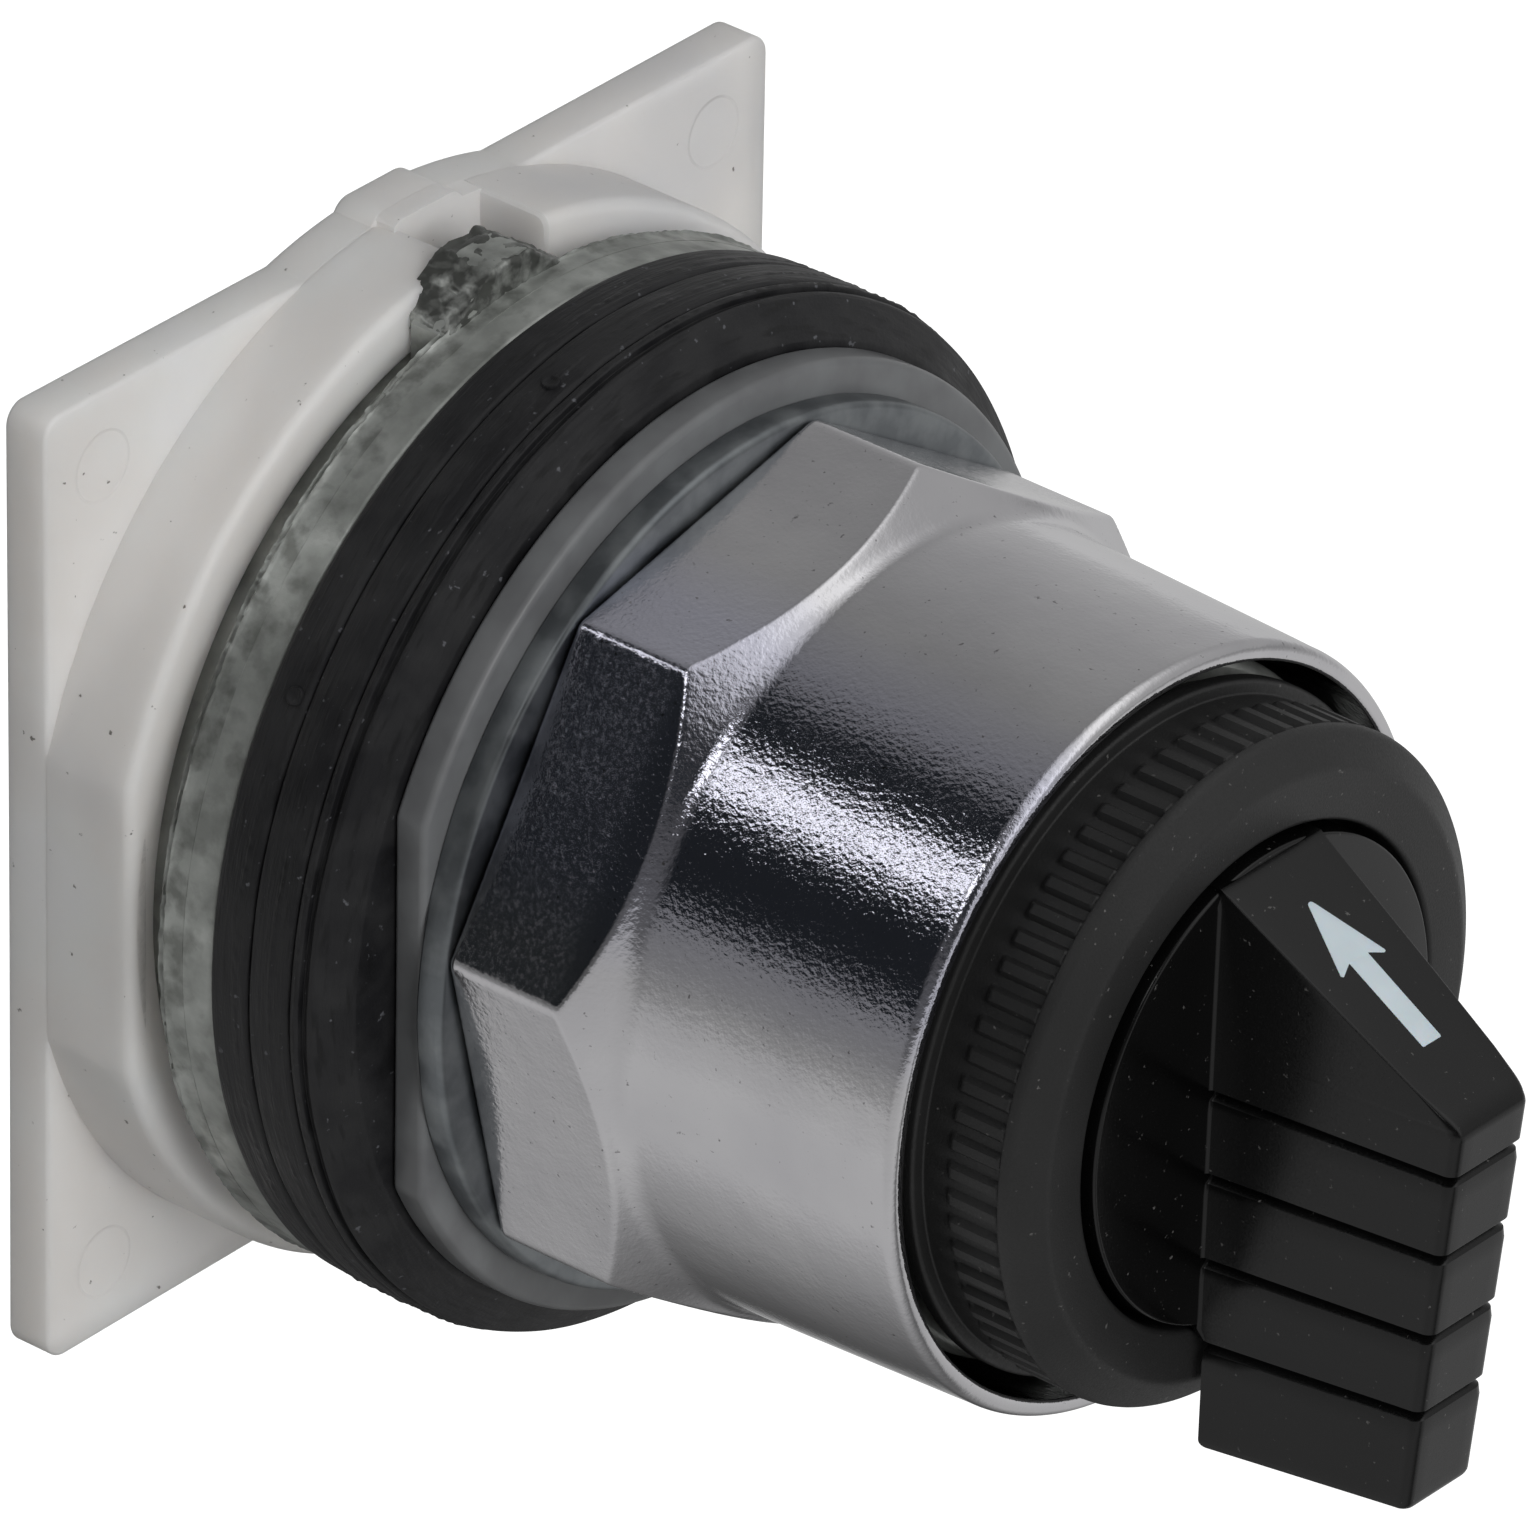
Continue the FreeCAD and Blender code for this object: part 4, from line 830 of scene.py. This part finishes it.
# rear housing: square plate and a round collar with a notch, in one milky moulding
housing = {
    "half": 21.85, "front": 15.45, "rear": 17.65, "cornerRound": 0.8, "edgeRound": 0.2, "collarRadius": 22.8,
    "collarBore": 20.35, "collarFront": 11.0, "collarRound": 0.5, "boreRound": 0.25, "notch": (-1.85, 3.05),
    "notchFloor": 14.55, "notchOverlap": 0.3, "endRound": 0.15, "endRow": 0.12, "padHalfWidth": 2.2,
    "padMiddle": -0.2, "padHeight": 0.35, "padRound": 0.8, "contactSpacing": 29.6, "contactRadius": 2.1,
    "plungerOffset": 8.0, "plungerRadius": 1.98, "screwOffset": 11.3, "screwRadius": 2.86, "segments": 480,
    "sink": 0.06,
}


def circle(x, z, radius, count=48):
    return [(x + radius * math.cos(2 * math.pi * i / count), z + radius * math.sin(2 * math.pi * i / count))
            for i in range(count)]


def cornerReach(angle, halfWidth, top, middle, size):
    # how far a ray from the axis runs to the top of a block with rounded corners; 0 where it misses
    c, s = math.cos(angle), math.sin(angle)
    if s <= 0.02:
        return 0.0
    x = top * c / s - middle
    if abs(x) <= halfWidth - size:
        return top / s
    cx, cz = middle + math.copysign(halfWidth - size, x), top - size
    along = cx * c + cz * s
    aside = size ** 2 - (cx * cx + cz * cz - along * along)
    return along + math.sqrt(aside) if aside > 0 else 0.0


def collarReach(angle, radius):
    # the collar is trimmed flush with the plate's two sides
    return softMin(radius, housing["half"] / max(0.05, abs(math.cos(angle))), 0.08)


def plateReach(angle):
    quarter = (angle + math.pi / 4) % (math.pi / 2) + math.pi / 4
    square = cornerReach(quarter, housing["half"], housing["half"], 0, housing["cornerRound"])
    pad = cornerReach(angle, housing["padHalfWidth"], housing["collarRadius"] + housing["padHeight"],
                      housing["padMiddle"], housing["padRound"])
    return max(square, collarReach(angle, housing["collarRadius"]), pad)


def makePlate():
    size, steps = housing["edgeRound"], 1440
    outer = []
    for i in range(steps):
        angle = 2 * math.pi * i / steps
        reach = plateReach(angle) - size
        outer.append((reach * math.cos(angle), reach * math.sin(angle)))
    loops = [outer]
    for sign in (1, -1):
        loops.append(circle(0, sign * housing["contactSpacing"] / 2, housing["contactRadius"] + size))
        loops.append(circle(sign * housing["plungerOffset"], 0, housing["plungerRadius"] + size))
        loops.append(circle(sign * housing["screwOffset"], -sign * housing["screwOffset"],
                            housing["screwRadius"] + size))
    return flatToMesh(loops, housing["front"], housing["rear"], size)


def joined(parts):
    # one closed mesh out of overlapping closed ones, so that light passes through them as one moulding
    made = []
    for bm in parts:
        bmesh.ops.recalc_face_normals(bm, faces=bm.faces)
        made.append(meshObject("joined", bm))
    for other in made[1:]:
        union = made[0].modifiers.new("union", "BOOLEAN")
        union.operation = "UNION"
        union.solver = "EXACT"
        union.object = other
    bpy.context.view_layer.update()
    mesh = bpy.data.meshes.new_from_object(made[0].evaluated_get(bpy.context.evaluated_depsgraph_get()))
    for piece in made:
        bpy.data.objects.remove(piece)
    bm = bmesh.new()
    bm.from_mesh(mesh)
    return bm


def makeCollar():
    # open ring whose two ends are the notch's flat side walls
    bore, outer, front = (housing["collar" + key] for key in ("Bore", "Radius", "Front"))
    segments = housing["segments"]
    middle, base = (bore + outer) / 2, housing["front"] + housing["sink"]
    left, right = housing["notch"]
    loop = fillIn(roundedLoop([(bore, base, 0), (outer, base, 0), (outer, front, housing["collarRound"]),
                               (bore, front, housing["boreRound"])], 6), 0.5)
    bm = bmesh.new()
    rows = []
    for i in range(segments + 1):
        ends = min(i, segments - i)
        row = []
        for radius, y in loop:
            begin = math.acos(left / radius)
            angle = begin + (math.acos(right / radius) + 2 * math.pi - begin) * i / segments
            r = radius
            if radius > middle:
                r += collarReach(angle, outer) - outer
            if ends == 0:
                r += housing["endRound"] if r < middle else -housing["endRound"]
                y += housing["endRound"] if y < front + 1 else 0
            elif ends == 1:
                begin = math.acos((left - housing["endRow"]) / radius)
                end = math.acos((right + housing["endRow"]) / radius) + 2 * math.pi
                angle = begin if i == 1 else end
            row.append(bm.verts.new((r * math.cos(angle), y, r * math.sin(angle))))
        rows.append(row)
    bridgeRows(bm, rows)
    return bm


def makeNotchFloor():
    # low wall between the collar's two ends, with the round-shouldered pad behind the notch
    bore, outer, floor = housing["collarBore"] + 0.01, housing["collarRadius"], housing["notchFloor"]
    middle, base = (bore + outer) / 2, housing["front"] + housing["sink"] * 2
    left, right = housing["notch"][0] - housing["notchOverlap"], housing["notch"][1] + housing["notchOverlap"]
    bm = bmesh.new()
    rows = []
    for i in range(33):
        row = []
        for radius, y in ((bore, base), (outer - 0.02, base), (outer - 0.02, floor), (bore, floor)):
            begin = math.acos(right / radius)
            angle = begin + (math.acos(left / radius) - begin) * i / 32
            r = radius
            if radius > middle:
                r = max(r, cornerReach(angle, housing["padHalfWidth"], outer + housing["padHeight"],
                                       housing["padMiddle"], housing["padRound"]))
            row.append(bm.verts.new((r * math.cos(angle), y, r * math.sin(angle))))
        rows.append(row)
    bridgeRows(bm, rows)
    return bm


finishMesh("rearHousing", joined([makeCollar(), makePlate(), makeNotchFloor()]), "operator",
           milky, ["rear_housing"], 35)
print("rear housing made")


# camera at the photograph's viewing angle: degrees, and millimetres from the switch
camera = {"lens": 460.9, "sensor": 36.0, "azimuth": -49.997, "elevation": 30.554, "roll": 1.035,
          "distance": 794.28, "across": 7.6685, "above": 0.1192, "seatForward": 6.4}


def makeCamera():
    azimuth, elevation, roll = (math.radians(camera[k]) for k in ("azimuth", "elevation", "roll"))
    right = Vector((math.cos(azimuth), math.sin(azimuth), 0))
    back = Vector((math.sin(azimuth) * math.cos(elevation), -math.cos(azimuth) * math.cos(elevation),
                   math.sin(elevation)))
    up = back.cross(right)
    rightSide = right * math.cos(roll) + up * math.sin(roll)
    upSide = up * math.cos(roll) - right * math.sin(roll)
    place = back * camera["distance"] + rightSide * camera["across"] + upSide * camera["above"]
    place += Vector((0, camera["seatForward"], 0))
    turned = Matrix((rightSide, upSide, back)).transposed().to_4x4()
    data = bpy.data.cameras.new("photoCamera")
    data.lens = camera["lens"]
    data.sensor_width = camera["sensor"]
    data.clip_start, data.clip_end = 0.05, 20
    eye = bpy.data.objects.new("photoCamera", data)
    eye.matrix_world = Matrix.Translation(place * mm) @ turned
    scene.collection.objects.link(eye)
    scene.camera = eye


makeCamera()

# the cards stand round the table and only mirrors see them: (degrees, brightness), bright at the right and lower
# left, dark at the left; one set stands behind the switch and one before it
studio = {
    "background": 1.0, "ambientLow": 0.14, "ambientHigh": 0.34, "lightFrom": (0.25, -0.75, 0.60),
    "floorHeight": -0.55, "floorColour": "#C2C2C0", "tentRadius": 0.5, "tentHalfLength": 1.3, "cardJoint": 0.12,
    "cardStrength": 2.0, "stripAngle": 127, "stripWidth": 0.19, "stripLength": 0.42, "stripPlace": -0.17,
    "stripStrength": 2.2, "keyPower": 3.9, "keySize": 0.4, "keyPlace": (-0.25, -0.66, 0.42),
    "cardsBehind": (
        (-32, 0.53), (-22, 0.52), (-12, 0.57), (-2, 0.62), (4, 0.50), (16, 0.45), (40, 0.37), (64, 0.29),
        (88, 0.215), (100, 0.16), (104, 0.015), (121, 0.015), (125, 1.7), (130, 1.7), (134, 0.015), (164, 0.015),
        (168, 0.21), (180, 0.25), (188, 0.34), (194, 0.48), (208, 0.57), (232, 0.55), (247, 0.39), (257, 0.32),
        (267, 0.225), (277, 0.165), (287, 0.115), (297, 0.085), (305, 0.2), (315, 0.47), (327.9, 0.53)),
    "cardsBefore": (
        (-32, 0.62), (-12, 0.60), (-1, 0.40), (6, 0.32), (12, 0.44), (34, 0.46), (42, 0.53), (50, 0.67),
        (59, 0.87), (66, 1.15), (72, 1.15), (80, 0.83), (91, 0.77), (98, 0.62), (104, 0.38), (111, 0.12),
        (117, 0.06), (132, 0.02), (146, 0.08), (175, 0.14), (182, 0.38), (188, 0.47), (200, 0.51), (221, 0.55),
        (231, 0.57), (248, 0.48), (255, 0.37), (263, 0.27), (278, 0.15), (292, 0.50), (327.9, 0.62)),
}


def bareTree(owner):
    owner.use_nodes = True
    owner.node_tree.nodes.clear()
    return owner.node_tree


def seenDirectly(tree):
    # 1 where the camera, a mirror or clear plastic looks, 0 where only light falls
    ray = addNode(tree, "ShaderNodeLightPath").outputs
    seen = ray["Is Camera Ray"]
    for kind in ("Is Glossy Ray", "Is Transmission Ray"):
        seen = addNode(tree, "ShaderNodeMath", {0: seen, 1: ray[kind]}, operation="MAXIMUM").outputs[0]
    return seen


def makeWorld():
    # white where it is seen, and a softer level as light
    scene.world = bpy.data.worlds.new("paleStudio")
    tree = bareTree(scene.world)
    way = addNode(tree, "ShaderNodeTexCoord").outputs["Generated"]
    lean = addNode(tree, "ShaderNodeVectorMath", {0: way, 1: studio["lightFrom"]}, operation="DOT_PRODUCT")
    soft = addNode(tree, "ShaderNodeMapRange", {0: lean.outputs["Value"], 1: -1.0, 2: 1.0, 3: studio["ambientLow"],
                                                4: studio["ambientHigh"]}).outputs[0]
    strength = addNode(tree, "ShaderNodeMix", {0: seenDirectly(tree), 2: soft, 3: studio["background"]}).outputs[0]
    light = addNode(tree, "ShaderNodeBackground", {"Color": (1, 1, 1, 1), "Strength": strength})
    addNode(tree, "ShaderNodeOutputWorld", {"Surface": light.outputs[0]})


def makeFloor():
    # pale floor well below the switch, clear from underneath so that the switch can be seen from there
    bm = bmesh.new()
    bmesh.ops.create_grid(bm, x_segments=8, y_segments=8, size=3.0)
    floor = meshObject("paleFloor", bm)
    floor.location.z = studio["floorHeight"]
    material = bpy.data.materials.new("paleFloor")
    tree = bareTree(material)
    paint = addNode(tree, "ShaderNodeBsdfDiffuse", {"Color": hexToLinear(studio["floorColour"])})
    glow = addNode(tree, "ShaderNodeEmission", {"Color": hexToLinear("#FFFFFF"), "Strength": 1.0})
    bright = addNode(tree, "ShaderNodeAddShader", {0: paint.outputs[0], 1: glow.outputs[0]})
    lit = addNode(tree, "ShaderNodeMixShader", {0: seenDirectly(tree), 1: paint.outputs[0], 2: bright.outputs[0]})
    back = addNode(tree, "ShaderNodeNewGeometry").outputs["Backfacing"]
    clear = addNode(tree, "ShaderNodeBsdfTransparent")
    oneSided = addNode(tree, "ShaderNodeMixShader", {0: back, 1: lit.outputs[0], 2: clear.outputs[0]})
    addNode(tree, "ShaderNodeOutputMaterial", {"Surface": oneSided.outputs[0]})
    floor.data.materials.append(material)


def onlyForMirrors(card, material):
    card.data.materials.append(material)
    card.visible_camera = False
    card.visible_diffuse = False
    card.visible_transmission = False
    card.visible_shadow = False
    card.visible_volume_scatter = False


def cardRamp(tree, share, stops):
    ramp = addNode(tree, "ShaderNodeValToRGB", {"Fac": share})
    elements = ramp.color_ramp.elements
    while len(elements) < len(stops):
        elements.new(0.5)
    for element, (degrees, level) in zip(elements, stops):
        element.position = (degrees - stops[0][0]) / 360
        blue = 1.25 if level < 0.06 else 1.0  # the dark cards are faintly blue
        level /= studio["cardStrength"]
        element.color = (level, level * (blue + 1) / 2, level * blue, 1)
    return ramp.outputs["Color"]


def makeTent():
    material = bpy.data.materials.new("studioCards")
    tree = bareTree(material)
    place = addNode(tree, "ShaderNodeTexCoord").outputs["Object"]
    axes = addNode(tree, "ShaderNodeSeparateXYZ", {"Vector": place}).outputs
    share = addNode(tree, "ShaderNodeMath", {0: axes["Z"], 1: axes["X"]}, operation="ARCTAN2").outputs[0]
    first = math.radians(studio["cardsBehind"][0][0])
    for step, value in (("SUBTRACT", first), ("FLOORED_MODULO", 2 * math.pi), ("DIVIDE", 2 * math.pi)):
        share = addNode(tree, "ShaderNodeMath", {0: share, 1: value}, operation=step).outputs[0]
    forward = addNode(tree, "ShaderNodeMapRange", {0: axes["Y"], 1: studio["cardJoint"], 2: -studio["cardJoint"]})
    paint = addNode(tree, "ShaderNodeMix", {0: forward.outputs[0], 6: cardRamp(tree, share, studio["cardsBehind"]),
                                            7: cardRamp(tree, share, studio["cardsBefore"])}, data_type="RGBA")
    light = addNode(tree, "ShaderNodeEmission", {"Color": paint.outputs[2], "Strength": studio["cardStrength"]})
    addNode(tree, "ShaderNodeOutputMaterial", {"Surface": light.outputs[0]})
    bm = bmesh.new()
    bmesh.ops.create_cone(bm, segments=64, radius1=studio["tentRadius"], radius2=studio["tentRadius"],
                          depth=studio["tentHalfLength"] * 2, cap_ends=True,
                          matrix=Matrix.Rotation(math.radians(90), 4, "X"))
    onlyForMirrors(meshObject("studioCards", bm), material)


def makeStripCard():
    # small bright card at the left that fades to its edges, for the spark on the nut's lip and shoulder
    material = bpy.data.materials.new("brightCard")
    tree = bareTree(material)
    place = addNode(tree, "ShaderNodeTexCoord").outputs["UV"]
    fromMiddle = addNode(tree, "ShaderNodeVectorMath", {0: place, 1: (0.5, 0.5, 0)},
                         operation="DISTANCE").outputs["Value"]
    soft = addNode(tree, "ShaderNodeMapRange", {0: fromMiddle, 1: 0.5, 2: 0.15, 4: studio["stripStrength"]})
    shown = addNode(tree, "ShaderNodeMapRange", {0: fromMiddle, 1: 0.5, 2: 0.3})
    light = addNode(tree, "ShaderNodeEmission", {"Strength": soft.outputs[0]})
    clear = addNode(tree, "ShaderNodeBsdfTransparent")
    faded = addNode(tree, "ShaderNodeMixShader", {0: shown.outputs[0], 1: clear.outputs[0], 2: light.outputs[0]})
    addNode(tree, "ShaderNodeOutputMaterial", {"Surface": faded.outputs[0]})
    angle, reach = math.radians(studio["stripAngle"]), studio["tentRadius"] * 0.96
    middle = Vector((math.cos(angle) * reach, studio["stripPlace"], math.sin(angle) * reach))
    across = Vector((-math.sin(angle), 0, math.cos(angle))) * studio["stripWidth"] / 2
    along = Vector((0, studio["stripLength"] / 2, 0))
    bm = bmesh.new()
    flat = bm.loops.layers.uv.new()
    corners = [(middle + across + along, (1, 1)), (middle + across - along, (1, 0)),
               (middle - across - along, (0, 0)), (middle - across + along, (0, 1))]
    face = bm.faces.new([bm.verts.new(point) for point, uv in corners])
    for loop, (point, uv) in zip(face.loops, corners):
        loop[flat].uv = uv
    onlyForMirrors(meshObject("stripCard", bm), material)


def makeLamp():
    data = bpy.data.lights.new("softKey", "AREA")
    data.energy = studio["keyPower"]
    data.size = studio["keySize"]
    lamp = bpy.data.objects.new("softKey", data)
    lamp.location = studio["keyPlace"]
    lamp.rotation_euler = Vector(studio["keyPlace"]).to_track_quat("Z", "Y").to_euler()
    lamp.visible_glossy = False
    scene.collection.objects.link(lamp)


makeWorld()
makeFloor()
makeTent()
makeStripCard()
makeLamp()
scene.view_settings.view_transform = "Standard"
print("camera, light and floor made")
